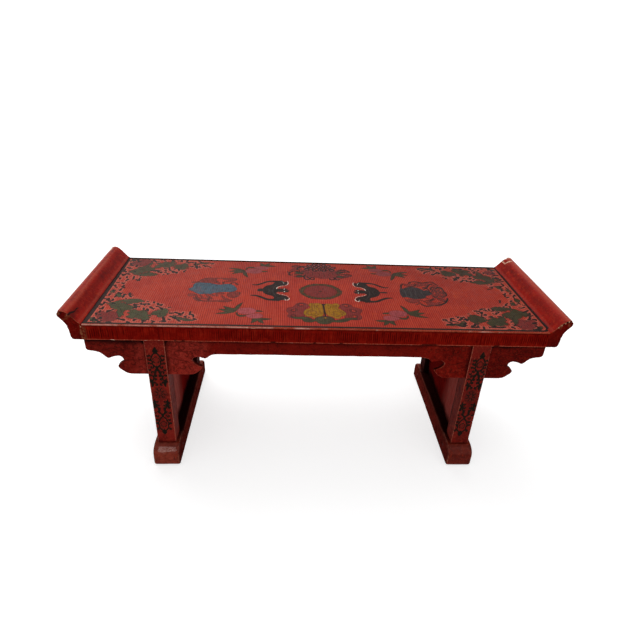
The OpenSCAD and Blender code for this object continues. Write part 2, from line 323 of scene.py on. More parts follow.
# The bold dark marks of a spray: a width and the points of a brushed stroke, for the corner with x and y positive.
MARKS_LEFT = [
    (2.4, (249, 30), (246.5, 33), (246, 36.5)), (2.6, (243, 30.5), (244, 35), (242, 41.5)), (2.2, (239.5, 32), (238.5, 37)),
    (2.4, (248, 40), (245.5, 43), (244.5, 46)), (2.8, (249, 45.5), (246.5, 49.5)), (2.3, (246.5, 52), (244, 55.5), (241, 57)),
    (2.0, (247.5, 57), (244.5, 57.5)), (2.2, (245.5, 61), (242, 65)), (2.2, (248.5, 66.5), (245, 70)), (2.0, (236.5, 43), (232.5, 44.5)),
    (2.3, (238, 58.5), (234, 60.5), (230, 59.5)), (2.6, (247.5, 76), (244, 80), (245, 84)), (2.4, (242, 79), (240, 83), (237.5, 87)),
    (2.2, (239, 75.5), (237, 79.5)), (2.8, (213.5, 45.5), (209, 48.5), (206, 53)), (2.3, (206.5, 42.5), (204.5, 45), (200.5, 42), (199.5, 46)),
    (2.0, (197.5, 41.5), (194, 44.5)), (2.3, (193, 38), (189.5, 40.5)), (2.7, (188, 42.5), (184.5, 46), (181, 43), (179.5, 47)),
    (2.9, (192, 49.5), (190, 54.5)), (2.0, (187, 48), (183.5, 49.5)), (2.3, (200, 52.5), (197.5, 57)), (2.5, (195.5, 55), (192, 60)),
    (2.3, (182, 50.5), (178, 56)), (2.8, (168, 62.5), (165, 65)), (2.7, (162, 58.5), (159.5, 63), (156.5, 67.5)),
    (2.5, (150.5, 62), (147, 66), (142.5, 65.5), (138, 69)), (2.2, (152.5, 71), (148.5, 69)), (2.3, (166, 69.5), (162.5, 74), (160, 78)),
    (2.2, (168, 77), (164, 78.5)), (2.4, (158.5, 79.5), (153, 82)), (2.1, (141, 74), (138, 78)), (2.5, (220.5, 76.5), (217, 79.5), (213.5, 84)),
    (2.3, (205, 79), (201.5, 82.5)), (2.3, (195, 81), (191.5, 85)), (2.3, (183, 79.5), (180, 84)), (2.7, (175.5, 75), (171, 79), (166.5, 82.5)),
    (2.1, (229.5, 85), (225, 86)), (2.1, (210.5, 84), (206, 85.5)), (2.5, (241, 24), (237.5, 29)), (2.3, (248, 19), (245.5, 24)),
    (2.5, (238, 15), (235.5, 21)), (2.3, (240.5, 6), (237, 11)), (2.1, (247, 9), (244, 13)), (2.3, (237.5, -1), (235.5, 4)),
    (2.3, (233, 20), (229.5, 26), (228, 29)), (2.3, (227, 17), (224, 22), (221, 19)), (2.1, (224, 23), (221.5, 28)), (2.1, (247, 0), (245, 4)),
    (2.1, (155, 61), (152.5, 64)), (2.0, (172.5, 80), (176, 84))]
MARKS_RIGHT = [
    (2.5, (247.5, 27), (244.5, 33), (240.5, 34.5)), (2.5, (250, 37.5), (244.5, 41.5), (239, 44)), (2.3, (249.5, 45), (245, 48.5)),
    (2.3, (244, 49), (246.5, 53), (242.5, 55)), (2.8, (249, 59.5), (245, 62)), (2.3, (244.5, 58.5), (238, 61.5)), (2.2, (246.5, 66), (242.5, 71)),
    (2.3, (241.5, 22), (238, 28)), (2.3, (231, 20), (226.5, 24.5), (224, 29)), (2.0, (224.5, 13.5), (220.5, 22)), (2.5, (193.5, 36.5), (188.5, 40)),
    (3.0, (187, 42), (183, 43.5), (181, 45.5)), (2.8, (189.5, 45.5), (188, 50.5)), (2.3, (182.5, 48), (187, 49.5)),
    (2.3, (201, 36), (199, 40.5), (202, 44), (207.5, 42.5)), (2.1, (193, 41.5), (198.5, 42.5)), (3.1, (192, 51), (190.5, 54)),
    (2.5, (207.5, 45.5), (205.5, 50.5)), (2.1, (212.5, 44.5), (208.5, 47.5)), (2.5, (193, 56), (199.5, 57)), (2.4, (144, 66.5), (148, 62.5), (152, 63.5)),
    (2.3, (148, 66), (150, 70), (152.5, 75)), (2.1, (157.5, 58), (156, 62)), (2.3, (163, 56), (160.5, 61), (158, 68)),
    (2.7, (166, 61), (168, 64), (165.5, 68)), (2.9, (169, 78), (167.5, 82)), (2.5, (173, 75), (169.5, 79.5)), (2.3, (175, 78), (173, 83)),
    (2.5, (181.5, 79), (180, 85)), (3.3, (189, 81.5), (195, 80.5), (201, 80.5), (207, 78)), (2.7, (216.5, 78), (214.5, 83)),
    (2.2, (219, 66), (216, 68.5)), (2.2, (220, 74), (216.5, 77)), (2.7, (153, 77), (157, 80.5), (161, 80)), (2.2, (139, 78), (145, 76.5), (150, 75)),
    (2.2, (185.5, 56), (190, 60)), (2.7, (241, 76), (245, 79), (246, 84)), (3.0, (236, 86), (246, 86.5)), (2.2, (212, 84), (207, 85.5)),
    (2.2, (226, 84.5), (222, 86)), (2.3, (163, 71), (160, 75), (163, 78)), (2.3, (247, 18.5), (245, 24)), (2.3, (239, 12), (236, 17)),
    (2.1, (246.5, 3), (243.5, 8)), (2.3, (238.5, 2), (236, 7)), (2.1, (236, -4), (234, 0)), (2.2, (249, -2), (246, 2)), (2.1, (231, 29), (228, 33)),
    (2.2, (142, 72), (146, 71)), (2.1, (209, 54), (205, 57))]


def corner_spray(b, rng, left, front):
    """Leaves, a peony and bold dark marks in one corner; drawn for the corner with x and y positive."""
    leaves = [
        [(233, 36), (228, 34), (221, 31.5), (214, 30.5), (208, 32.5), (203, 37), (208, 40.5), (214, 43), (219, 44), (223, 40), (229, 40)],
        [(243, 44), (237, 50), (233, 56), (228, 61), (224, 68), (221, 74), (217.5, 70), (218.5, 64), (213, 59), (210, 54), (212, 49),
         (217, 46.5), (223, 43), (227, 39), (232, 36), (236, 40)],
        [(213, 58), (208, 57), (203, 59), (198, 58), (194, 62), (190, 66), (187, 72), (189, 78), (193, 82), (197, 78), (203, 78), (208, 76),
         (213, 73), (210, 68), (214, 64)],
        [(189, 62), (185, 57.5), (181, 55), (176, 53), (171, 56), (169, 62), (171, 68), (174, 74), (179, 73), (182, 69.5), (188, 68)],
        [(163, 68), (159, 70), (156, 73), (150, 74), (144, 76), (138, 78), (145, 80), (153, 79), (159, 77.5), (163, 73)],
    ]
    if front or not left:
        leaves += [[(249, 9), (245, 8.5), (242.5, 13), (244.5, 18), (249, 15)], [(240, 16), (236, 18), (232, 24), (234.5, 28), (239, 24)]]
    if not left:
        leaves[1] = [(x + 1.5, y) for x, y in leaves[1]]
        leaves += [[(246, 45), (240, 46), (236, 51), (240, 55), (245, 51)]]
    for rim in leaves:
        q = np.array(rim) + rng.uniform(-0.8, 0.8, (len(rim), 2))
        b.shape("leaf", q, 3)
        for k in range(len(q)):
            if rng.uniform() < 0.35:
                mid = q.mean(0)
                at = q[k] + (mid - q[k]) * rng.uniform(-0.05, 0.08)
                b.blob("leaf", at[0], at[1], rng.uniform(1.2, 2.2), rng.uniform(1.0, 1.8), cut=True)
    b.blob("leaf", 215.5, 61.2, 3.0, 2.8, cut=True)
    for line in ([(230, 37), (220, 38), (209, 36)], [(221, 38), (216, 42)], [(239, 47), (229, 51), (222, 60), (221, 70)],
                 [(229, 50), (218, 52)], [(211, 64), (202, 68), (192, 76)], [(202, 68), (205, 76)], [(201, 68), (198, 61)],
                 [(187, 65), (180, 64), (173, 64)], [(180, 64), (178, 57)], [(180, 64), (176, 71)], [(160, 73), (152, 76), (143, 77.5)]):
        b.stroke("vein", line, 1.1, (0.8, 0.5))
    b.lens("leaf", (250, 77), (242, 87), 5.0, 0.1)
    # peony
    px, py, pr = (231, 73.4, 1.0) if front or left else (239, 69, 0.55)
    for k in range(7):
        t = 0.4 + 2 * math.pi * k / 7
        b.blob("maroon", px + 6.6 * pr * math.cos(t), py + 6.4 * pr * math.sin(t), 5.4 * pr)
    b.blob("maroon", px, py, 6 * pr)
    b.shape("maroon", [(246, 63), (241, 62), (238, 68), (242, 75), (246, 72)])
    for k in range(5):
        t = 1.0 + 2 * math.pi * k / 5
        b.stroke("vein", [(px + 2.5 * math.cos(t), py + 2.5 * math.sin(t)),
                          (px + 6 * pr * math.cos(t + 0.35), py + 6 * pr * math.sin(t + 0.35)),
                          (px + 9.2 * pr * math.cos(t + 0.1), py + 9.2 * pr * math.sin(t + 0.1))], 0.8)
    # marks, each with a thick belly and a tapering tail
    marks = list(MARKS_LEFT if left else MARKS_RIGHT)
    if not front:
        marks += [(2.2, (233, 66), (229, 70)), (2.2, (228, 74), (225, 79)), (2.1, (221, 70), (217, 73)), (2.0, (236, 79), (231, 83))] if not left else []
        marks += [(2.2, (208, 47), (204, 50)), (2.2, (199, 49), (195, 50)), (2.2, (174, 46), (171, 50)), (2.0, (161, 80), (156, 84))]
    for w, *q in marks:
        q = np.array(q, float)
        if not front:
            q[:, 1] = 2 * q[:, 1].mean() - q[:, 1]
        mid, t = q.mean(0), rng.uniform(-0.75, 0.75)
        v = (q - mid) * rng.uniform(0.72, 0.95)
        q = mid + v @ np.array([[math.cos(t), math.sin(t)], [-math.sin(t), math.cos(t)]]) + rng.uniform(-0.7, 0.7, 2)
        w *= rng.uniform(1.05, 1.3)
        b.stroke("dark", q, w, (0.95 * w, 0.7 * w))
        if rng.uniform() < 0.5:
            # a side hook
            along = q[-1] - q[0]
            off = np.array([-along[1], along[0]]) / max(np.hypot(*along), 1e-6) * rng.uniform(2.0, 3.6) * (1 if rng.uniform() < 0.5 else -1)
            root = q[0] + along * rng.uniform(0.1, 0.9)
            b.stroke("dark", [root, root + off], 0.85 * w, (0.85 * w, 0.6 * w), 3)
    if not left and front:
        b.blob("dark", 140, 66.5, 3.3, 3.0)
        b.blob("dark", 139.6, 66.4, 1.0, 0.9, cut=True)
    # a few small hooks in the gaps
    spots = [(203.5, 49), (187, 53.5), (171.5, 50.5), (209, 44.5), (159.5, 66), (146, 71), (155, 68), (172, 76), (187, 80.5), (214, 79),
             (222, 80), (236, 65), (248, 52), (243.5, 70.5), (249, 25), (224, 31), (198, 38)]
    for x, y in spots:
        x, y = x + rng.uniform(-1.2, 1.2), y + rng.uniform(-1.2, 1.2)
        b.curl("dark", x, y, rng.uniform(1.8, 2.7), rng.uniform(0, 6.28), 1 if rng.uniform() < 0.5 else -1, 1.6, rng.uniform(2.2, 3.2))
    b.shape("spray", [(252, -2), (236, 2), (232, 20), (218, 24), (208, 30), (196, 36), (178, 42), (170, 52), (150, 59), (136, 64),
                      (135, 80), (150, 86), (200, 88), (252, 88)], rough=True)


def pink_flower(b):
    """Two pink petals with olive leaves; drawn for the left front quarter."""
    b.shape("pink", [(-95, -51), (-91, -48), (-84, -46.5), (-77, -48.5), (-74, -53.5), (-76, -59), (-83, -61.8),
                     (-90, -61), (-95, -57)])
    b.shape("pink", [(-85, -65), (-79, -61.5), (-72, -59.5), (-67, -62), (-66, -67), (-70, -70.8), (-77, -71), (-82, -69)])
    b.stroke("vein", [(-93, -54), (-86, -53), (-80, -55)], 0.7, (0.4, 0.3))
    b.stroke("vein", [(-91, -58), (-84, -58), (-79, -57)], 0.7, (0.4, 0.3))
    b.stroke("vein", [(-88, -49.5), (-83, -51), (-78, -51.5)], 0.6, (0.4, 0.3))
    b.stroke("vein", [(-80, -66), (-74, -65), (-69, -65)], 0.6, (0.4, 0.3))
    b.stroke("leaf", [(-95.5, -59), (-94, -64), (-90, -66.5), (-85, -65.5), (-80, -62.5), (-76, -61.5)], 2.4, (1.2, 0.8))
    b.stroke("dark", [(-94.5, -61), (-92, -64.5), (-86, -63.5), (-80, -61.8)], 0.9, (0.5, 0.4))
    b.blob("leaf", -90, -66, 2.6, 2.0)
    b.stroke("leaf", [(-77, -54.5), (-72, -54), (-67, -54.8)], 3.4, (1.2, 1.0))
    for tip, w in (((-91, -34), 4.6), ((-112, -44), 6.0), ((-117, -51), 5.5), ((-118.5, -62), 5.0), ((-106, -58), 5.0)):
        b.lens("leaf", (-97, -54), tip, w, 0.06, "vein")
    b.blob("leaf", -100, -52, 4.0)
    for tip, w in (((-56, -71.5), 4.4), ((-64, -82), 4.6), ((-77.5, -81.5), 5.0), ((-78, -74), 3.4)):
        b.lens("leaf", (-70, -71.5), tip, w, -0.06, "vein")
    b.blob("leaf", -70, -73, 2.6)


def bat(b, left):
    """A bat with spread wings and two long tendrils, facing the middle."""
    b.shape("dark", [(-40.5, 26), (-39.2, 20.5), (-41, 15.5), (-46.5, 13.6), (-50.8, 11), (-52.8, 7), (-50.2, 4.2),
                     (-46, 4.4), (-43, 5.6), (-40.5, 5.2), (-38.2, 3.6), (-41.5, 1.2), (-37.6, -0.6), (-38.6, -3.4),
                     (-43, -3.6), (-47, -2.6), (-50.5, -4), (-52.6, -7), (-50.5, -9.6), (-45.6, -12.2), (-41, -14.6),
                     (-37.6, -19), (-38.6, -23.4), (-44, -25.6), (-50, -25.8), (-55.4, -23.2), (-55, -19.4),
                     (-57, -15.6), (-62, -13.2), (-65.8, -10), (-67.6, -4), (-68.8, 3), (-67.8, 8), (-65.6, 12.8),
                     (-61.6, 15), (-58, 17.4), (-56.6, 21), (-54, 25), (-48, 26.2), (-43, 25.4)], 3)
    b.stroke("dark", [(-48, 26), (-55, 25.8), (-60, 25.8), (-66, 23.6), (-70, 20), (-75, 16), (-79, 14.2), (-82.5, 14.8)],
             3.6, (6.0, 2.2))
    b.stroke("dark", [(-50, -25.2), (-57, -25.4), (-63, -24.4), (-69, -20), (-74, -16.6), (-78, -15), (-83, -14.6)],
             4.2, (6.4, 2.0))
    b.blob("dark", -47.6, 0.8, 4.4, 5.2)
    for q in ([(-48, 3), (-43, 4.6), (-39, 4.2)], [(-48, 0.6), (-42, 0.4), (-37.4, 0.4)], [(-48, -2), (-43, -3.4), (-39, -3.6)],
              [(-44, 3.4), (-42.6, 6.2)], [(-44, -2.6), (-42.8, -5.4)]):
        b.stroke("dark", q, 2.3, (2.6, 1.8))
    b.shape("dark", [(-64, 12.6), (-67.8, 9.4), (-69.6, 4), (-69.8, -2), (-68, -7.6), (-64, -11.6), (-61, -11), (-60, 0), (-61, 12)])
    b.shape("dark", [(-57, 16), (-53, 10), (-54, 3), (-55, -5), (-52, -11), (-57, -14), (-61, -8), (-62, 0), (-61, 9)])
    if left:
        b.shape("dark", [(-69, 3.4), (-72.6, 4.4), (-75.6, 2.6), (-76.2, -1), (-74.4, -4), (-71, -3.6), (-68.6, -3)])
    else:
        b.shape("dark", [(-66, 2.2), (-71, 1.6), (-77, 2.0), (-80, 0), (-77, -2.2), (-71, -1.4), (-66, -2.2)])
    for line, w in (([(-39.8, 28), (-38.4, 22), (-39.6, 17), (-42, 14.2)], 1.3), ([(-46.6, 26.4), (-44.4, 23), (-44.2, 20)], 1.0),
                    ([(-52.6, 4.6), (-51.2, 9), (-47, 12.6), (-42.6, 14)], 1.5), ([(-53, 4), (-52.2, 7.5), (-50.6, 10)], 1.6),
                    ([(-52.2, -6.2), (-49, -10), (-43.6, -11.6), (-39.4, -14.4), (-37.2, -18)], 1.3),
                    ([(-36.8, -19.5), (-37, -23), (-39.4, -25.6), (-42.5, -25)], 1.9),
                    ([(-40.6, -27), (-41.4, -23.4), (-43, -21)], 0.9)):
        b.stroke("cream", line, 0.50 * w, (w * 0.28, w * 0.28))
    b.blob("cream", -43.2, 4.2, 0.6, 1.2)
    b.blob("cream", -42.8, -2.6, 0.6, 1.2)
    b.stroke("hollow", [(-58, 19), (-54, 14), (-56, 8), (-57, 0), (-56, -8), (-53, -15), (-50, -20)], 0.8, (0.4, 0.4))
    b.stroke("hollow", [(-64, 6), (-61, 0), (-63, -7)], 0.7, (0.4, 0.4))
    b.stroke("hollow", [(-51, 22), (-47, 19), (-43, 18)], 0.7, (0.4, 0.4))
    b.stroke("hollow", [(-52, -22), (-47, -18), (-43, -18)], 0.7, (0.4, 0.4))


def paint_top(x, y):
    b = Painter(x, y)
    rng = np.random.default_rng(7)
    # corner sprays
    for sx, sy, dx, dy in ((-1, -1, 0, 0.5), (-1, 1, -1.5, 1.0), (1, -1, 1.0, 0.0), (1, 1, 0.5, 0.8)):
        corner_spray(Mirrored(b, sx, sy, dx, dy), rng, sx < 0, sy < 0)
    # medallion in the middle
    a = np.linspace(0, 2 * math.pi, 41)[:-1]
    ring = np.stack([1.8 + 26.2 * np.cos(a), 21.8 * np.sin(a)], -1)
    ring += np.stack([0.5 * np.cos(5 * a + 1), 0.5 * np.sin(7 * a)], -1)
    b.shape("leaf", ring, 2)
    b.shape("leaf", np.stack([1.6 + 20.6 * np.cos(a), 17.2 * np.sin(a)], -1), 2, cut=True)
    b.shape("leaf", [(25, 4), (30, 2.6), (25, -1)], rough=True)
    b.shape("maroon", np.stack([1.6 + 19.4 * np.cos(a), 16.2 * np.sin(a)], -1), 2)
    for k in range(40):
        t = 2 * math.pi * k / 40
        b.blob("vein", 1.8 + 24.0 * math.cos(t), 19.9 * math.sin(t), 1.15)
    for k in range(30):
        t = 2 * math.pi * (k + 0.3 * math.sin(3 * k)) / 30
        b.blob("leaf", 1.8 + 26.4 * math.cos(t), 22.0 * math.sin(t), 1.15, cut=True)
        t = t + 0.11
        b.blob("leaf", 1.8 + 21.2 * math.cos(t), 17.7 * math.sin(t), 0.95, cut=True)
        b.stroke("amber", [(1.8 + 21.6 * math.cos(t), 18.1 * math.sin(t)), (1.8 + 25.4 * math.cos(t + 0.06), 21.2 * math.sin(t + 0.06))],
                 1.9, (1.6, 1.6), 2)
    b.stroke("maroon", np.stack([1.7 + 21.8 * np.cos(a), 18.1 * np.sin(a)], -1), 0.8, (0.8, 0.8), 1, closed=True)
    for k in range(10):
        t = 2 * math.pi * k / 10 + 0.3
        b.stroke("vein", [(1.6 + 6 * math.cos(t), 5 * math.sin(t)), (1.6 + 11 * math.cos(t + 0.3), 9 * math.sin(t + 0.3)),
                          (1.6 + 17 * math.cos(t + 0.1), 14 * math.sin(t + 0.1))], 0.8, (0.5, 0.4))
    b.blob("vein", 1.6, 0, 2.2)
    # bats
    bat(b, True)
    bat(Mirrored(b, -1, 1, 6.0, 0.6), False)
    # peony at the back
    m = [(-18, 45), (-15, 40), (-8, 38.5), (-2, 40.5), (4, 37.5), (10, 37.8), (16, 40), (23, 40), (27, 45), (28.5, 51),
         (25, 57), (27, 62), (21, 65), (14, 63), (8, 66), (1, 64), (-6, 66), (-12, 63), (-19, 64), (-21, 58), (-17, 52)]
    b.shape("maroon", m)
    b.shape("maroon", [(-36, 60), (-34, 66), (-28, 70), (-22, 68), (-22, 64), (-29, 63)])
    b.shape("maroon", [(-35, 73), (-27, 77), (-19, 76), (-21, 72), (-29, 71)])
    b.shape("maroon", [(28, 66), (35, 68), (42, 64), (43, 60), (37, 62), (30, 61)])
    b.shape("maroon", [(36, 50), (44, 52), (45, 47), (38, 46)])
    for c in ((-38, 57, 4.0, 0.3, -1), (-35, 48, 4.4, 1.8, 1), (-25, 73, 4.5, 2.2, -1), (41, 61, 4.2, 2.6, 1),
              (43, 50, 3.2, 4.0, 1), (34, 68, 4.2, 1.0, -1)):
        b.curl("dark", *c)
    def petal(cx, cy, rx, ry, turn):
        t = np.linspace(0, 2 * math.pi, 9)[:-1]
        u, v = ry * np.cos(t), rx * np.sin(t) * (0.9 + 0.2 * np.cos(t))
        q = np.stack([cx + u * math.cos(turn) - v * math.sin(turn), cy + u * math.sin(turn) + v * math.cos(turn)], -1)
        b.shape("maroon", q, grow=0.6)
        b.stroke("dark", q, 1.8, (1.8, 1.8), 3, closed=True)
        b.lens("pink", (cx - 0.7 * ry * math.cos(turn), cy - 0.7 * ry * math.sin(turn)),
               (cx + 0.8 * ry * math.cos(turn), cy + 0.8 * ry * math.sin(turn)), 1.25 * rx)

    for cx, cy, rx, ry in ((-15.5, 73, 2.7, 4.2), (-10, 78, 2.6, 4.4), (-3.6, 81, 2.6, 4.2), (2.6, 82, 2.6, 4.0), (9.4, 80.6, 2.6, 4.6),
                           (15.6, 77.6, 2.6, 4.6), (21.6, 72.4, 2.8, 4.4), (-13.6, 65.6, 2.4, 3.4), (-8.4, 70, 2.2, 3.4), (-2.8, 72.4, 2.3, 3.6),
                           (2.8, 73.4, 2.3, 3.6), (8.6, 71.6, 2.3, 3.8), (14, 68, 2.3, 3.6), (19.6, 64.4, 2.6, 3.4), (-3.4, 63, 2.4, 3.0),
                           (3.4, 65, 2.3, 3.0), (9.2, 62.6, 2.3, 3.0)):
        petal(cx, cy, rx, ry, math.atan2(cy - 54, cx - 4))
    for r in ([(-24, 62), (-27, 67), (-24, 72), (-19, 77)],
              [(-19, 51), (-27, 59), (-34, 58), (-38, 53), (-36, 47)], [(-31, 42), (-25, 40.5), (-19, 43), (-16, 48)],
              [(26, 52), (32, 51.5), (38, 53), (44, 52)], [(25, 42), (31, 40.5), (36, 43), (41, 45)],
              [(-18, 42), (-17, 36), (-13.5, 33.6), (-11, 37), (-14, 43)], [(-8, 41), (-10, 36), (-7, 33.6), (-4.5, 36.5), (-6, 40)],
              [(15, 40), (16, 35.6), (19, 34.6), (22, 37.5), (21, 42)], [(23, 42), (23, 37), (26, 34.6), (28.5, 37)],
              [(27, 62), (33, 66), (39, 66), (44, 61)], [(-27, 56), (-22, 60), (-17, 58)], [(-30, 48), (-25, 46), (-20, 48)],
              [(30, 56), (35, 60), (40, 58)], [(29, 48), (34, 46), (38, 49)], [(-34, 75), (-28, 78), (-21, 75)]):
        b.stroke("dark", r, 2.2, (1.7, 1.7))
    for x, y in ((-15.8, 38.4), (-10.4, 38), (18.8, 38.6), (25.4, 38)):
        b.blob("pink", x, y, 1.5, 2.0)
    for r in ([(-11, 45), (-6, 50), (-7, 57), (-2, 62)], [(18, 44), (14, 50), (17, 56), (12, 62)], [(0, 42), (3, 49), (1, 56)],
              [(8, 41), (9, 48), (8, 55)], [(-17, 50), (-12, 54), (-13, 60)], [(23, 48), (20, 53), (22, 59)]):
        b.stroke("vein", r, 0.9, (0.5, 0.4))
    for base, tip, w in (((-19, 54), (-31, 53), 7.0), ((-18, 44), (-29, 43.5), 4.8), ((25, 56), (36, 59), 6.5),
                         ((25, 46), (34, 43), 5.5), ((-24, 53), (-29, 58), 4.0), ((-4, 68), (2, 76), 3.0),
                         ((9, 68), (11, 77), 2.6)):
        b.lens("leaf", base, tip, w, 0.06, "vein")
    # peony at the front: yellow petals, maroon clouds, a green calyx below
    b.shape("maroon", [(-30, -39), (-27, -33), (-21, -31.5), (-15.5, -35), (-14, -41), (-18, -47), (-19, -56), (-20, -64),
                       (-26, -68), (-33, -69), (-38, -65), (-37, -58), (-39.5, -52), (-38, -45), (-33, -43)])
    b.blob("maroon", -22.6, -37.4, 3.4, cut=True)
    b.blob("maroon", -31.8, -50.2, 2.4, cut=True)
    b.blob("maroon", -31, -64.5, 2.0, cut=True)
    b.shape("maroon", [(22, -41), (24, -35), (29, -31.8), (36, -34), (37.5, -39), (43, -42), (48, -46), (46.5, -52), (44, -57),
                       (46, -64), (42, -70), (34, -70), (27, -67), (28, -58), (27, -50)])
    b.blob("maroon", 30, -37.6, 3.2, cut=True)
    b.blob("maroon", 38.4, -49, 3.0, 2.6, cut=True)
    b.blob("maroon", 37, -61.5, 3.4, cut=True)
    for c in ((-22.6, -37.4, 5.2, 0.4, 1), (-32, -50, 5.0, 1.0, -1), (-31, -63, 4.6, 5.0, -1), (30, -37.6, 5.0, 2.4, -1),
              (38.6, -49, 5.4, 2.2, 1), (37, -62, 5.4, 4.4, 1)):
        b.curl("scroll", *c, 1.3)
    b.shape("leaf", [(-34, -65), (-30, -70), (-22, -71), (-20, -76), (-12, -77.6), (-7, -75), (-3, -79.6), (3.5, -81), (9, -79),
                     (12, -76), (20, -76.6), (28, -74), (33, -70), (40, -69), (38, -66), (30, -66), (22, -69), (15, -71.6),
                     (13, -67), (8, -63.4), (0, -63.4), (-6, -67), (-9, -71.6), (-13, -67), (-20, -65), (-27, -66)])
    for base, tip in (((-10, -75), (-26, -68)), ((3.5, -78), (3.5, -66)), ((16, -75), (33, -68)), ((0, -76), (-6, -70)), ((7, -76), (13, -70))):
        b.stroke("vein", [base, tip], 0.9, (0.8, 0.4))
    left = [(1.4, -34.6), (-3.6, -32.6), (-8, -33.6), (-11, -33), (-13, -36.6), (-11, -41), (-12.6, -46), (-17, -49), (-19, -55),
            (-18, -60), (-15, -63.4), (-11, -62.4), (-8.6, -67), (-5, -63), (-0.6, -62.6), (1.8, -57), (2.0, -48), (1.6, -41)]
    b.shape("gold", left, grow=1.0)
    b.shape("gold", [(5.2, -34.4), (9.6, -33.2), (14, -34), (18, -32), (21.4, -34), (21, -39), (19.4, -43), (22.6, -47), (26.6, -52),
                     (28, -57), (25, -60.6), (22, -62), (20, -66.6), (16, -66.8), (13, -63), (9, -62), (6.6, -57), (5.8, -49),
                     (5.4, -41)], grow=0.8)
    b.shape("gold", [(2, -67), (4, -64.6), (6, -67), (4, -69)], cut=False, rough=True)
    for r in ([(-7, -35), (-7.4, -41), (-6, -46)], [(15, -35), (14.6, -41), (14, -46)], [(-1.6, -50), (-2.6, -55)], [(9, -49), (10, -54)]):
        b.stroke("amber", r, 1.3, (1.0, 0.8))
    for r in ([(-10, -35.5), (-10.2, -42), (-10, -47), (-14.6, -51.5), (-16.2, -57), (-14, -60.6), (-11, -59.6), (-7.6, -63), (-4.4, -60), (-1.6, -57)],
              [(18.6, -35), (18, -41), (18, -45.5), (22, -49.5), (25.4, -54), (24, -58), (20.4, -60.2), (18, -63.6), (14.6, -61), (10.6, -58)],
              [(-1.6, -36), (-4.6, -39), (-3.6, -43), (-0.8, -45)], [(8.6, -36), (12, -39), (11, -43), (8, -45)],
              [(-12.6, -53), (-8.6, -50.6), (-5.4, -53), (-6, -57.4), (-9.6, -58)], [(21.6, -53), (17.4, -50.6), (13.8, -53), (14.4, -57.4), (18.4, -58)]):
        b.stroke("amber", r, 1.6, (1.3, 1.0))
    b.stroke("dark", [(3.4, -33.6), (3.6, -42), (3.9, -52), (4.2, -63.5)], 1.8, (1.8, 1.2))
    b.blob("dark", 2.6, -35.2, 1.0, 1.9)
    b.blob("dark", 5.0, -35.0, 0.9, 1.7)
    b.stroke("dark", [(4.2, -52), (4.4, -58), (4.4, -64)], 2.1, (1.2, 1.6))
    # pink flowers
    pink_flower(b)
    pink_flower(Mirrored(b, -1, 1, 4.5, 0.8))
    pink_flower(Mirrored(b, 1, -1, 0.5, 1.8))
    pink_flower(Mirrored(b, -1, -1, 5.0, 3.0))
    # blue flowers
    b.shape("blue", [(-159, -1), (-155, 4), (-155.4, 10), (-154, 15), (-150, 17.4), (-144, 17), (-138, 16.4), (-132, 14.6),
                     (-127, 13), (-122, 12.6), (-117, 14.6), (-111, 14.6), (-105.6, 10.6), (-101, 1.6), (-102.6, -4.4),
                     (-108, -7.4), (-114, -7.6), (-120, -8.4), (-127, -10.6), (-131, -13.6), (-137, -13.4), (-143, -15),
                     (-149, -11.8), (-152, -8.4), (-157, -5)])
    for r in ([(-156, -0.5), (-148, 4), (-140, 9), (-134, 11)], [(-155, -3), (-146, -5), (-138, -10), (-133, -11)],
              [(-130, 8), (-124, 2), (-118, -1), (-110, -2)], [(-120, 11), (-116, 6), (-108, 3)], [(-142, 3), (-134, 0), (-127, -4)]):
        b.stroke("hollow", r, 1.0, (0.5, 0.4))
    b.shape("blue", [(103, 9), (104.6, 14.4), (108, 13.4), (112, 17), (119, 18.8), (126.6, 17.4), (131.4, 12.4), (134, 9),
                     (138, 10.4), (141, 6), (142.4, 1), (138, -4), (133, -6), (131.4, -11), (126, -14), (118, -14.8),
                     (112.4, -13), (108, -10.4), (103.4, -11.4), (101.6, -5), (102, 3)])
    b.stroke("hollow", [(108.4, 13), (108.8, 4), (108.2, -10)], 1.0, (0.8, 0.8))
    for r in ([(121, 17), (122.6, 8), (121, -2), (122, -13)], [(131, 10), (129, 3), (131, -6)], [(114, 14), (115.4, 4), (114, -10)]):
        b.stroke("hollow", r, 0.8, (0.4, 0.4))
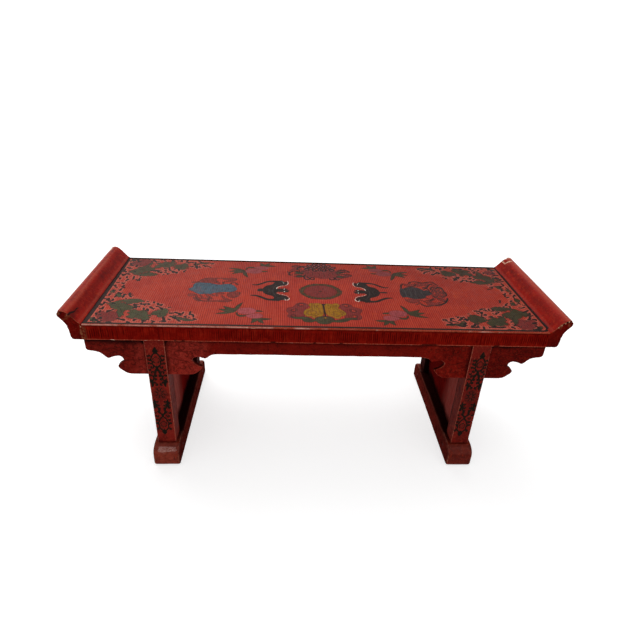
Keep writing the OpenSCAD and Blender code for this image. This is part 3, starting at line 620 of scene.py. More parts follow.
    # faded maroon scrolls round the blue flowers
    for q in ([(-150, 18), (-147.4, 26), (-142, 31), (-134, 32), (-129.6, 28), (-129, 20), (-132, 15.6), (-140, 17), (-146, 16)],
              [(-121.6, 27.6), (-117, 30.4), (-110, 33), (-105, 31), (-103.8, 27), (-108, 24), (-113, 25.6)],
              [(-157, -15), (-151, -14), (-148.6, -18), (-152, -21), (-156, -20)], [(-126, -10), (-119, -9.4), (-114.6, -12), (-119, -14.4)],
              [(-105, -6), (-97.4, -7), (-96, -12), (-98, -19), (-104, -23), (-109.6, -19), (-111.4, -13), (-109, -9)],
              [(-117, -29), (-106, -28), (-104.6, -31), (-110, -33.6), (-118, -33)]):
        b.shape("scroll", q)
    for r, w in (([(-158, 17.6), (-153, 18.4), (-149, 20.4)], 2.6), ([(-128, 21), (-124.4, 16)], 3.0), ([(-120.4, 20), (-119, 15)], 2.0),
                 ([(-118.4, 20.4), (-113, 22), (-109, 23)], 2.4), ([(-130.6, 31), (-124, 31.4), (-117, 31)], 2.2), ([(-110, 15.6), (-108.6, 18.6), (-105.6, 19.6)], 2.2),
                 ([(-104, 18), (-101.4, 13)], 2.4), ([(-148, -16), (-146, -22), (-141.6, -29)], 2.8), ([(-149.4, -23.6), (-146, -29), (-141, -32.6)], 2.4),
                 ([(-140, -25.4), (-134, -26), (-131, -29)], 3.2), ([(-136.4, -15), (-132, -21), (-127.6, -26.4)], 2.8), ([(-131.4, -14.4), (-126.6, -18.4)], 2.8),
                 ([(-141, -31), (-134, -32.4), (-127, -31.4)], 2.4), ([(-124, -14), (-122.6, -19)], 2.2), ([(-117, -18), (-113.6, -24), (-107.6, -28)], 2.8),
                 ([(-128, -32.6), (-121, -31.4), (-115, -30)], 2.4), ([(-143, -17), (-140, -22)], 2.0)):
        b.stroke("scroll", r, w, (w * 0.7, w * 0.7))
    for q in ([(-141.6, 29.4), (-140, 22)], [(-146, 24), (-144, 19)], [(-134.6, 29), (-133, 21)], [(-109, -10), (-106, -16), (-104, -20)],
              [(-102.6, -9), (-100, -15)]):
        b.stroke("scroll", q, 1.2, (0.9, 0.9), cut=True)
    for r, w in (([(106, 16), (106.6, 23), (110, 28), (117, 25), (124, 27), (130, 22), (137, 25), (141, 21)], 1.9),
                 ([(120, 28), (121, 33), (128, 35), (136, 31.6), (144, 34.4), (151, 35), (152, 30)], 2.1),
                 ([(144, 30), (149, 27), (153, 22), (158, 17), (160, 10)], 1.9), ([(118, 30), (123, 24), (120, 19)], 1.7),
                 ([(133, 14), (138, 19), (143, 25), (141, 30)], 1.8), ([(126, 30), (131, 25), (128, 20)], 1.6),
                 ([(105, -15), (107, -22), (113, -25.6), (120, -22), (122, -28), (127, -33), (135, -31), (143, -31.6), (149, -27), (155, -21), (158.6, -12)], 2.1),
                 ([(112, -18), (118, -20), (124, -18), (130, -23), (136, -20), (142, -14)], 1.8), ([(132, -12), (137, -16), (136, -21)], 1.6),
                 ([(124, -32), (121, -27), (116, -30)], 1.6)):
        b.stroke("scroll", r, w, (w * 0.6, w * 0.6))
    for q in ([(112, 22), (118, 20), (126, 21), (127, 26), (119, 28), (113, 26)], [(108, -16), (114, -15), (120, -17), (119, -23), (111, -23)],
              [(134, 26), (141, 24), (147, 28), (142, 32), (135, 31)],
              [(130, -24), (138, -23), (145, -26), (139, -30), (131, -29)]):
        b.shape("scroll", q)
    for cx, cy, rx, ry, lean in ((145.8, 1.0, 3.1, 9.8, 0.10), (154.6, -0.6, 3.0, 8.2, 0.14), (152.2, 13.6, 2.6, 5.2, 0.30), (146.6, 16.0, 2.2, 4.6, 0.34),
                                 (150.4, -15.6, 2.6, 4.4, -0.5)):
        t = np.linspace(0, 2 * math.pi, 13)[:-1]
        u, v = rx * np.cos(t), ry * np.sin(t)
        q = np.stack([cx + u + lean * v, cy + v], -1)
        b.stroke("scroll", q, 2.3, (2.3, 2.3), 3, closed=True)
        b.stroke("dark", q[:6], 0.8, (0.5, 0.5), 3)
        b.stroke("dark", q[7:12], 1.0, (0.5, 0.5), 3)
    for x, y, r in ((146.6, -2.6, 1.3), (145.6, 6.0, 1.0), (155.4, 2.0, 1.1), (154, -5.0, 0.9)):
        b.blob("scroll", x, y, r, 1.8 * r)
    for q, w in (([(157.4, 18.4), (159.8, 14)], 2.2), ([(150, 18), (152.4, 14.4)], 1.6), ([(158.6, 8), (160.4, 1), (158.4, -6)], 1.5),
                 ([(158.8, -11), (157.4, -17), (154, -21)], 2.0), ([(141.4, -6), (143, -10), (146, -12)], 1.4), ([(143, 12), (145, 17), (148.6, 21)], 1.4)):
        b.stroke("dark", q, w, (w * 0.7, w * 0.7))
    b.blob("dark", 140.2, 4.0, 1.5, 2.0)
    for c in ((141.5, 27.0, 3.6, 1.0, 1), (131.0, 30.5, 3.4, 2.2, -1), (146.0, -26.0, 3.6, 0.8, 1), (133.0, -26.5, 3.4, 4.2, -1)):
        b.curl("scroll", *c, 1.7, 3.9)
    for r, w in (([(158, 12), (160.5, 4), (160, -4)], 1.1), ([(153, 18), (156, 21), (159.6, 16)], 1.3),
                 ([(141, 8), (139, 15), (134, 19)], 1.2), ([(106, 15), (107, 22), (110, 26)], 1.2), ([(152, 32), (156, 25)], 1.2),
                 ([(118, 30), (122, 34), (130, 35), (137, 32), (145, 35), (152, 35)], 1.2), ([(141, -12), (136, -18), (129, -19)], 1.1),
                 ([(158, -14), (154, -22), (147, -28), (139, -31)], 1.3), ([(122, -29), (127, -33.6), (136, -32)], 1.2),
                 ([(134, 12), (140, 18), (144, 26), (150, 31)], 1.1), ([(112, 22), (118, 20), (124, 22), (127, 27)], 1.0)):
        b.stroke("dark", r, 1.75 * w, (w * 1.3, w * 1.2))
    for r, w in (([(-150.4, 20), (-147.6, 26.4), (-142, 31)], 1.1), ([(-119.6, 16), (-118.8, 21)], 1.3), ([(-104, 26), (-105, 31)], 1.2),
                 ([(-110, 15), (-109, 18)], 1.2), ([(-102, 14), (-103.4, 17.6)], 1.4), ([(-128.4, 17), (-127.6, 22)], 1.1),
                 ([(-147, -22), (-143.6, -29), (-138, -32)], 1.2), ([(-131, -21), (-131.4, -30)], 1.2), ([(-96.6, -8), (-97, -13)], 1.3),
                 ([(-98, -17), (-103, -22)], 1.1), ([(-106, -29.4), (-104, -28)], 1.3), ([(-120, -33), (-112, -33.4)], 1.1)):
        b.stroke("vein", r, 1.3 * w, (w, w))
    # border lines
    b.shape("dark", [(-252.4, 96), (-256.9, 90), (-257.2, 40), (-256.6, -20), (-256.4, -86), (-254.4, -89), (-250.0, -88.4),
                     (-249.7, -60), (-250.3, 0), (-251.4, 60), (-252.6, 88)], rough=True)
    b.stroke("dark", [(-254, -87.4), (-200, -87.7), (-120, -87.3), (0, -87.4), (120, -87.3), (246, -87.1)], 3.5, (3.5, 3.5), 8)
    b.stroke("dark", [(244, -87.1), (250, -86.6), (253.4, -84.4), (255.4, -79)], 3.4, (3.2, 3.4))
    b.shape("dark", [(252.4, 90), (254.2, 90), (256.4, 60), (257.0, 0), (257.2, -60), (257.0, -80), (253.2, -83), (252.5, -40),
                     (252.3, 20)], rough=True)
    b.stroke("dark", [(-254, 88.9), (-120, 89.2), (0, 89.0), (120, 89.2), (254, 88.9)], 5.8, (5.8, 5.8), 8)
    return b.values(TOP_LAYERS)


TOP_LAYERS = ("maroon", "leaf", "blue", "pink", "gold", "dark", "cream", "spray", "scroll", "vein", "hollow", "amber")


def leg_scroll(b, flip=1.0, drift=0.0, lean=0.0):
    """The painted scrolls of one leg face, drawn about its middle line; z is the second coordinate."""
    def at(q):
        q = np.array(q, float)
        return np.stack([flip * q[..., 0] + drift + lean * (q[..., 1] - 102) / 115, q[..., 1]], -1)

    def both(kind, layer, pts, *a):
        pts = np.array(pts, float)
        for s in (1, -1):
            getattr(b, kind)(layer, at(pts * (s, 1)), *a)

    b.shape("dark", at([(0, 166), (1.9, 162.6), (3.0, 160), (1.7, 158.2), (0, 157), (-1.7, 158.2), (-3.0, 160), (-1.9, 162.6)]))
    both("stroke", "dark", [(0.3, 158), (2.8, 156.2), (4.6, 152.6), (5.6, 149.4), (4.4, 146.6), (4.6, 143.4), (2.4, 140.6), (0.5, 138)], 1.25, (1.5, 1.5))
    both("stroke", "dark", [(0, 138.4), (1.4, 135), (2.2, 130.6), (4.6, 127), (5.0, 122.6), (6.8, 119), (7.5, 112)], 1.35, (1.7, 1.2))
    # small curls on either side of the stems
    for x, z, r, st, tn in ((8.0, 149.6, 1.7, 3.0, 1), (8.4, 143.8, 1.6, 2.6, -1), (8.6, 135.4, 1.7, 2.6, 1),
                            (2.6, 126.6, 1.5, 1.4, 1), (8.8, 127.4, 1.6, 2.4, -1), (9.0, 119.4, 1.5, 3.0, 1), (4.6, 117.6, 1.4, 0.2, 1),
                            (8.6, 154.0, 1.4, 2.6, 1), (4.2, 90.4, 1.5, 0.2, -1), (9.2, 88.6, 1.5, 3.2, 1), (8.8, 81.0, 1.6, 2.8, -1), (4.6, 74.4, 1.5, 0.6, 1),
                            (8.8, 74.0, 1.6, 3.2, 1), (8.4, 57.4, 1.6, 2.6, -1),
                            (7.6, 49.0, 1.6, 3.4, 1), (8.0, 63.0, 1.4, 2.8, 1), (2.4, 133.0, 1.3, 0.6, 1), (2.6, 80.6, 1.3, 0.8, -1)):
        for s in (1, -1):
            q = at((s * x, z))
            b.curl("dark", q[0], q[1], r, st if s * flip > 0 else math.pi - st, tn * (1 if s * flip > 0 else -1), 1.2, 4.0)
    for z in (139.6, 137, 134.6):
        b.blob("dark", *at((0, z)), 1.2)
    for x, z, r, st, tn in ((5.6, 139.2, 2.3, 2.4, 1), (5.9, 131.4, 2.3, 3.6, -1), (3.4, 122, 2.0, 0.4, 1), (2.6, 115.4, 1.9, 5.4, -1),
                            (3.5, 85, 2.2, 1.0, -1), (2.8, 78.4, 1.7, 4.4, 1), (6.6, 69, 2.2, 2.8, 1), (6.9, 62, 1.9, 3.6, -1)):
        for s in (1, -1):
            q = at((s * x, z))
            b.curl("dark", q[0], q[1], r, st if s * flip > 0 else math.pi - st, tn * (1 if s * flip > 0 else -1), 1.35, 4.4)
    for base, tip, w in (((6.9, 112.6), (7.2, 122), 2.7), ((7.2, 118), (9.4, 124), 1.8), ((5.4, 153), (7.4, 156), 1.5), ((5.8, 147), (8.0, 149), 1.5),
                         ((4.9, 143), (7.4, 144), 1.4), ((7.3, 83), (7.5, 94), 2.7), ((7.2, 80), (9.2, 85), 1.7), ((5.9, 55), (7.9, 59), 1.7),
                         ((5.6, 50), (7.6, 50.6), 1.5), ((1, 128.6), (3.6, 126.4), 1.3), ((5, 126), (8.2, 128.6), 1.4), ((2, 72), (4.8, 74.6), 1.4)):
        for s in (1, -1):
            b.lens("dark", at((s * base[0], base[1])), at((s * tip[0], tip[1])), 1.1 * w)
    both("stroke", "dark", [(7.6, 92.6), (6.8, 88), (6.0, 83), (3.8, 79.4), (3.0, 74.6), (0.2, 69.6)], 1.35, (1.2, 1.7))
    for z in (71, 68.8):
        b.blob("dark", *at((0, z)), 1.3)
    both("stroke", "dark", [(0.2, 68), (3.0, 64.8), (4.4, 61.4), (6.0, 58.0), (5.2, 54.6), (5.4, 51), (3.0, 47.6), (0.3, 44.6)], 1.25, (1.5, 1.5))
    b.shape("dark", at([(0, 48.4), (1.9, 46.2), (2.9, 43.8), (1.6, 41.6), (0, 39.6), (-1.6, 41.6), (-2.9, 43.8), (-1.9, 46.2)]))
    for z0 in (148.6, 56.4):
        for k in range(5):
            a = math.pi / 2 + k * 2 * math.pi / 5
            b.blob("bloom", *at((2.0 * math.cos(a), z0 + 2.4 * math.sin(a))), 1.25)
            b.stroke("dark", at([(3.2 * math.cos(a - 0.5), z0 + 3.8 * math.sin(a - 0.5)), (3.8 * math.cos(a), z0 + 4.4 * math.sin(a)),
                                 (3.2 * math.cos(a + 0.5), z0 + 3.8 * math.sin(a + 0.5))]), 0.8, (0.5, 0.5), 3)
    b.shape("bloom", at([(0, 112.6), (4.4, 110.6), (7.4, 106.6), (7.9, 102), (7.2, 97.4), (4.2, 94), (0, 92.6), (-4.2, 94), (-7.2, 97.4),
                         (-7.9, 102), (-7.4, 106.6), (-4.4, 110.6)]))
    for k in range(8):
        a = 0.2 + k * math.pi / 4
        b.stroke("dark", at([(2.2 * math.cos(a), 102.6 + 2.8 * math.sin(a)), (4.2 * math.cos(a + 0.4), 102.6 + 5.2 * math.sin(a + 0.4)),
                             (6.4 * math.cos(a + 0.2), 102.6 + 7.8 * math.sin(a + 0.2))]), 0.7, (0.4, 0.4))
    for k in range(22):
        a, r = 2.4 * k, 1.6 + 0.27 * k
        b.blob("dark", *at((r * math.cos(a), 102.6 + 1.2 * r * math.sin(a))), 0.42 + 0.16 * math.sin(5 * k))


# ---------------------------------------------------------------- materials

def lin(r, g, b):
    """Linear colour from screen values of 0 to 255."""
    def one(c):
        c /= 255
        return c / 12.92 if c <= 0.04045 else ((c + 0.055) / 1.055) ** 2.4
    return (one(r), one(g), one(b), 1.0)


class Shade:
    """A node material, built a node at a time."""

    def __init__(self, name):
        self.mat = bpy.data.materials.new(name)
        self.mat.use_nodes = True
        self.nt = self.mat.node_tree
        self.nt.nodes.clear()
        self.out = self.nt.nodes.new("ShaderNodeOutputMaterial")
        self.co = self.nt.nodes.new("ShaderNodeTexCoord").outputs["Object"]

    def put(self, socket, v):
        if isinstance(v, bpy.types.NodeSocket):
            self.nt.links.new(v, socket)
        else:
            socket.default_value = v

    def math(self, op, a, b=None, clamp=False):
        n = self.nt.nodes.new("ShaderNodeMath")
        n.operation = op
        n.use_clamp = clamp
        self.put(n.inputs[0], a)
        if b is not None:
            self.put(n.inputs[1], b)
        return n.outputs[0]

    def mix(self, fac, a, b, mode="MIX"):
        n = self.nt.nodes.new("ShaderNodeMix")
        n.data_type = "RGBA"
        n.blend_type = mode
        n.clamp_factor = True
        self.put(n.inputs[0], fac)
        self.put(n.inputs[6], a)
        self.put(n.inputs[7], b)
        return n.outputs[2]

    def band(self, v, a, b, lo=0.0, hi=1.0):
        """v from a to b becomes lo to hi, smoothly, and no further."""
        n = self.nt.nodes.new("ShaderNodeMapRange")
        n.interpolation_type = "SMOOTHSTEP"
        for i, x in enumerate((v, a, b, lo, hi)):
            self.put(n.inputs[i], x)
        return n.outputs[0]

    def stretched(self, s, shift=(0, 0, 0)):
        n = self.nt.nodes.new("ShaderNodeMapping")
        self.put(n.inputs["Vector"], self.co)
        n.inputs["Scale"].default_value = s
        n.inputs["Location"].default_value = shift
        return n.outputs[0]

    def noise(self, size, detail=3.0, rough=0.55, stretch=None, seed=0.0, warp=0.0):
        """Noise of about 0 to 1; size is the size of its grain in millimetres."""
        n = self.nt.nodes.new("ShaderNodeTexNoise")
        s = stretch or (1, 1, 1)
        self.put(n.inputs["Vector"], self.stretched(s, (seed, seed * 0.7, seed * 1.3)))
        n.inputs["Scale"].default_value = 1000.0 / size
        n.inputs["Detail"].default_value = detail
        n.inputs["Roughness"].default_value = rough
        n.inputs["Distortion"].default_value = warp
        return n.outputs[0]

    def attr(self, name):
        n = self.nt.nodes.new("ShaderNodeAttribute")
        n.attribute_name = name
        return n.outputs["Fac"]

    def axis(self, which):
        n = self.nt.nodes.new("ShaderNodeSeparateXYZ")
        self.put(n.inputs[0], self.co)
        return n.outputs["XYZ".index(which)]

    def lay(self, c, layer, tone, soft=0.22, keep=1.0, ragged=None):
        """Paints one layer over c: its edge wanders with ragged, and keep is how much of it is left."""
        d = self.attr(layer)
        if ragged is not None:
            d = self.math("ADD", d, ragged)
        m = self.band(d, soft, -soft)
        if not isinstance(keep, float) or keep != 1.0:
            m = self.math("MULTIPLY", m, keep)
        return self.mix(m, c, tone)

    def bump(self, height, strength, distance):
        n = self.nt.nodes.new("ShaderNodeBump")
        n.inputs["Strength"].default_value = strength
        n.inputs["Distance"].default_value = distance * MM
        self.put(n.inputs["Height"], height)
        return n.outputs[0]

    def finish(self, colour, rough, normal, specular=0.3, coat=0.0, coat_rough=0.2):
        n = self.nt.nodes.new("ShaderNodeBsdfPrincipled")
        self.put(n.inputs["Base Color"], colour)
        self.put(n.inputs["Roughness"], rough)
        if normal is not None:
            self.put(n.inputs["Normal"], normal)
        n.inputs["Specular IOR Level"].default_value = specular
        n.inputs["Coat Weight"].default_value = coat
        n.inputs["Coat Roughness"].default_value = coat_rough
        self.nt.links.new(n.outputs[0], self.out.inputs[0])
        return self.mat


def ground(s):
    """Colour of the combed orange-red ground, for the board and for the paint that wears through to it."""
    broad = s.noise(55, 2.0, 0.5, seed=3.1)
    patch = s.noise(9, 3.0, 0.6, (1.0, 0.45, 1.0), seed=1.7)
    streak = s.noise(2.2, 2.0, 0.6, (1.0, 0.12, 1.0), seed=5.3)
    c = s.mix(s.band(broad, 0.35, 0.66), lin(141, 37, 24), lin(154, 46, 28))
    c = s.mix(s.band(patch, 0.40, 0.72, 0, 0.55), c, lin(134, 30, 22))
    c = s.mix(s.band(streak, 0.50, 0.75, 0, 0.45), c, lin(176, 60, 42))
    c = s.mix(s.band(s.noise(14, 2.0, 0.5, seed=9.9), 0.60, 0.74, 0, 0.35), c, lin(164, 56, 18))
    rib = s.attr("rib")
    c = s.mix(s.math("MULTIPLY", s.band(rib, 0.62, 0.05), s.band(s.noise(18, 3.0, 0.6, seed=8.8), 0.35, 0.65, 0.28, 0.62)),
              c, lin(100, 16, 11))
    c = s.mix(s.band(rib, 0.75, 1.0, 0, 0.20), c, lin(188, 74, 54))
    return c


def painted(s, c):
    """The decoration, over the ground c."""
    def rim(c, layer, tone, wide, much):
        gap = s.math("ABSOLUTE", s.math("ADD", s.attr(layer), s.math("MULTIPLY", ragged, 0.8)))
        return s.mix(s.math("MULTIPLY", s.band(gap, wide, 0.2), s.math("MULTIPLY", left, much)), c, tone)

    broad = s.noise(13, 3.0, 0.55, seed=12.7)
    brush = s.noise(1.8, 3.0, 0.6, (1.0, 0.25, 1.0), seed=14.3)
    grit = s.noise(1.2, 4.0, 0.7, (1.0, 0.40, 1.0), seed=17.1)
    ragged = s.math("MULTIPLY", s.math("SUBTRACT", s.noise(1.5, 3.0, 0.6, seed=19.9), 0.5), 1.1)
    rib = s.attr("rib")
    # patchy loss of paint, more on the crests of the ribs
    loss = s.math("ADD", s.math("MULTIPLY", grit, 0.75), s.math("MULTIPLY", broad, 0.25))
    left = s.band(loss, 0.70, 0.60, 0.35, 1.0)
    # speckled haze of tiny strokes among the leaves
    zone = s.band(s.math("ADD", s.attr("spray"), s.math("MULTIPLY", ragged, 3.0)), 1.6, -1.6)
    dash = s.noise(2.6, 3.0, 0.65, (1.0, 0.55, 1.0), seed=21.3, warp=1.2)
    dash2 = s.noise(3.4, 3.0, 0.6, (0.8, 0.8, 1.0), seed=27.9, warp=1.6)
    c = s.mix(s.math("MULTIPLY", zone, s.band(dash2, 0.42, 0.62, 0, 0.50)), c, lin(166, 74, 58))
    c = s.mix(s.math("MULTIPLY", zone, s.band(dash, 0.56, 0.66, 0, 0.30)), c, lin(82, 26, 22))
    # the ground is paler right beside the dark strokes
    c = s.mix(s.math("MULTIPLY", zone, s.band(s.attr("dark"), 2.2, 0.7, 0, 0.46)), c, lin(184, 96, 80))
    c = s.lay(c, "scroll", lin(98, 36, 32), 0.6, s.math("MULTIPLY", left, s.band(brush, 0.3, 0.7, 0.90, 0.60)), ragged)
    red = s.mix(s.band(brush, 0.45, 0.75), lin(108, 36, 33), lin(88, 28, 28))
    red = s.mix(s.band(broad, 0.5, 0.7, 0, 0.5), red, lin(112, 46, 42))
    c = s.lay(c, "maroon", red, 0.45, s.math("MULTIPLY", left, 0.95), ragged)
    c = rim(c, "maroon", lin(62, 28, 24), 1.1, 0.55)
    c = rim(c, "scroll", lin(58, 26, 22), 0.9, 0.60)
    green = s.mix(s.band(broad, 0.38, 0.62), lin(58, 61, 38), lin(50, 48, 29))
    green = s.mix(s.band(brush, 0.48, 0.72, 0, 0.6), green, lin(38, 42, 26))
    green = s.mix(s.band(dash2, 0.58, 0.72, 0, 0.55), green, lin(96, 58, 44))
    # painted sheen makes the green paler on the left, and painted shade makes it darker on the right; it is browner
    # towards the back
    green = s.mix(s.band(s.axis("X"), -0.10, -0.20, 0, 0.42), green, lin(54, 68, 43))
    green = s.mix(s.band(s.axis("X"), 0.02, 0.20, 0, 0.40), green, lin(34, 38, 22))
    green = s.mix(s.band(s.axis("Y"), -0.01, 0.07, 0, 0.30), green, lin(60, 44, 30))
    # the leaves of the sprays have ragged rims
    torn = s.math("MULTIPLY", s.math("SUBTRACT", s.noise(4.4, 2.0, 0.6, seed=41.3), 0.5), s.math("MULTIPLY", zone, 6.5))
    torn = s.math("ADD", ragged, torn)
    c = s.lay(c, "leaf", green, 0.30, s.math("MULTIPLY", left, 0.97), torn)
    c = rim(c, "leaf", lin(34, 28, 20), 0.9, 0.70)
    x = s.axis("X")
    slate = s.mix(s.band(brush, 0.42, 0.72), lin(54, 80, 92), lin(42, 56, 66))
    slate = s.mix(s.band(broad, 0.52, 0.66, 0, 0.5), slate, lin(80, 72, 80))
    night = s.mix(s.band(brush, 0.42, 0.72), lin(40, 42, 42), lin(26, 25, 28))
    c = s.lay(c, "blue", s.mix(s.band(x, -0.04, 0.04), slate, night), 0.35, s.math("MULTIPLY", left, 0.97), ragged)
    rose = s.mix(s.band(brush, 0.42, 0.72), lin(152, 66, 70), lin(128, 52, 54))
    c = rim(c, "blue", lin(40, 34, 38), 0.8, 0.50)
    # painted shade: the rose is darker towards the right and the back
    rose = s.mix(s.math("ADD", s.band(x, -0.03, 0.06, 0, 0.30), s.band(s.axis("Y"), -0.02, 0.05, 0, 0.36), clamp=True), rose, lin(100, 40, 40))
    c = s.lay(c, "pink", rose, 0.45, s.math("MULTIPLY", left, 0.96), ragged)
    c = rim(c, "pink", lin(96, 40, 36), 0.8, 0.45)
    yellow = s.mix(s.band(brush, 0.42, 0.72), lin(136, 94, 9), lin(108, 69, 11))
    yellow = s.mix(s.band(broad, 0.52, 0.68, 0, 0.5), yellow, lin(150, 90, 24))
    c = s.lay(c, "gold", yellow, 0.35, s.math("MULTIPLY", left, 0.98), ragged)
    c = rim(c, "gold", lin(84, 50, 18), 0.8, 0.60)
    c = s.lay(c, "amber", lin(92, 52, 18), 0.4, s.math("MULTIPLY", left, 0.66), ragged)
    c = s.lay(c, "vein", lin(40, 28, 22), 0.30, s.math("MULTIPLY", left, 0.70))
    ink = s.mix(s.band(brush, 0.42, 0.72), lin(27, 23, 20), lin(16, 14, 12))
    ink = s.mix(s.band(dash2, 0.58, 0.72, 0, 0.5), ink, lin(46, 44, 36))
    ragged2 = s.math("MULTIPLY", ragged, 0.6)
    c = s.lay(c, "dark", ink, 0.26, s.math("MULTIPLY", s.band(loss, 0.76, 0.66, 0.5, 1.0), 0.98), ragged2)
    c = s.lay(c, "hollow", lin(84, 78, 78), 0.35, s.math("MULTIPLY", left, 0.30))
    c = s.lay(c, "cream", lin(212, 204, 188), 0.26, s.band(grit, 0.72, 0.60, 0.45, 1.0))
    return s.mix(s.band(rib, 0.42, 0.0, 0, 0.38), c, lin(38, 14, 12))


def lacquer_top(name, specular):
    s = Shade(name)
    c = painted(s, ground(s))
    # painted shade: the top is darker towards the right and the back
    right_back_shade = s.math("ADD", s.band(s.axis("X"), -0.02, 0.20, 0, 0.16), s.band(s.axis("Y"), -0.01, 0.08, 0, 0.14))
    c = s.mix(right_back_shade, c, lin(30, 8, 4))
    # a painted pinkish sheen on the left of the top
    left_sheen = s.math("MULTIPLY", s.band(s.axis("X"), -0.04, -0.20, 0, 0.024), s.band(s.noise(40, 2.0, 0.5, seed=1.9), 0.3, 0.7, 0.5, 1.0))
    c = s.mix(left_sheen, c, lin(206, 170, 160))
    edge = s.attr("arris")
    n1 = s.noise(7, 4.0, 0.65, (0.35, 1.0, 1.0), seed=2.2)
    n2 = s.noise(1.6, 3.0, 0.6, seed=4.4)
    # the sides of the board are a deeper red, with dark combing
    side = s.attr("side")
    deep = s.mix(s.band(s.noise(11, 3.0, 0.6, seed=6.1), 0.35, 0.7), lin(98, 8, 4), lin(118, 15, 7))
    deep = s.mix(s.band(n2, 0.5, 0.75, 0, 0.45), deep, lin(132, 34, 20))
    deep = s.mix(s.band(s.noise(5.0, 3.0, 0.6, seed=7.4), 0.58, 0.72, 0, 0.5), deep, lin(70, 4, 3))
    ply = s.noise(1.9, 3.0, 0.6, (1.0, 1.0, 0.10), seed=31.7, warp=0.2)
    deep = s.mix(s.band(ply, 0.52, 0.70, 0, 0.55), deep, lin(138, 34, 20))
    deep = s.mix(s.band(ply, 0.46, 0.30, 0, 0.45), deep, lin(64, 4, 3))
    deep = s.mix(s.band(s.attr("comb"), 0.10, 0.80, 0, 0.80), deep, lin(44, 2, 2))
    deep = s.mix(s.math("MULTIPLY", s.attr("joint"), s.band(s.noise(3.2, 4.0, 0.7, seed=3.8), 0.40, 0.58, 0.15, 0.90)), deep, lin(110, 60, 38))
    c = s.mix(side, c, deep)
    # worn arrises: pinkish tan, thin spots of cream, and dark nicks
    rub = s.band(s.math("ADD", s.math("MULTIPLY", edge, 0.75), s.math("MULTIPLY", n1, 0.55)), 0.62, 0.86)
    rub = s.math("MULTIPLY", rub, s.band(edge, 0.05, 0.4))
    # a painted shadow: a dark line under the front arris, where the combing begins
    c = s.mix(s.math("MULTIPLY", s.attr("shadow"), s.band(n1, 0.35, 0.60, 0.35, 0.85)), c, lin(44, 4, 4))
    tan = s.mix(s.band(n2, 0.42, 0.66), lin(132, 46, 30), lin(164, 86, 66))
    tan = s.mix(s.band(s.noise(5, 3.0, 0.6, (0.5, 1, 1), seed=8.3), 0.60, 0.72), tan, lin(206, 168, 146))
    c = s.mix(s.math("MULTIPLY", rub, 0.9), c, tan)
    nick = s.math("MULTIPLY", s.band(s.noise(3.2, 2.0, 0.5, (0.6, 1, 1), seed=7.7), 0.66, 0.72), s.band(edge, 0.1, 0.5))
    c = s.mix(nick, c, lin(46, 22, 18))
    # a painted highlight: a pale line along the front top arris, paler towards the left
    line = s.math("MULTIPLY", s.attr("glint"), s.band(s.noise(3.5, 3.0, 0.7, seed=2.9), 0.34, 0.56, 0.55, 1.0))
    pale = s.math("ADD", s.noise(24, 3.0, 0.6, seed=6.6), s.band(s.axis("X"), 0.03, -0.12, -0.11, 0.10))
    bright = s.mix(s.band(pale, 0.46, 0.64), lin(140, 56, 36), lin(190, 142, 128))
    c = s.mix(s.math("MULTIPLY", line, 0.85), c, bright)
    c = s.mix(s.math("MULTIPLY", s.attr("bare"), s.band(n2, 0.35, 0.55, 0.6, 1.0)), c, lin(34, 10, 8))
    # painted shade on the underside
    c = s.mix(s.attr("painted_shade"), c, lin(38, 10, 9))
    rough = s.band(s.noise(6, 4.0, 0.6, seed=1.1), 0.3, 0.75, 0.32, 0.52)
    rough = s.math("ADD", rough, s.math("MULTIPLY", rub, 0.16))
    h = s.math("ADD", s.math("MULTIPLY", s.noise(3.0, 3.0, 0.6, (1, 0.3, 1), seed=3.3), 0.5),
               s.math("MULTIPLY", s.noise(0.7, 2.0, 0.5, seed=5.5), 0.35))
    return s.finish(c, rough, s.bump(h, 0.5, 0.16), specular=specular)


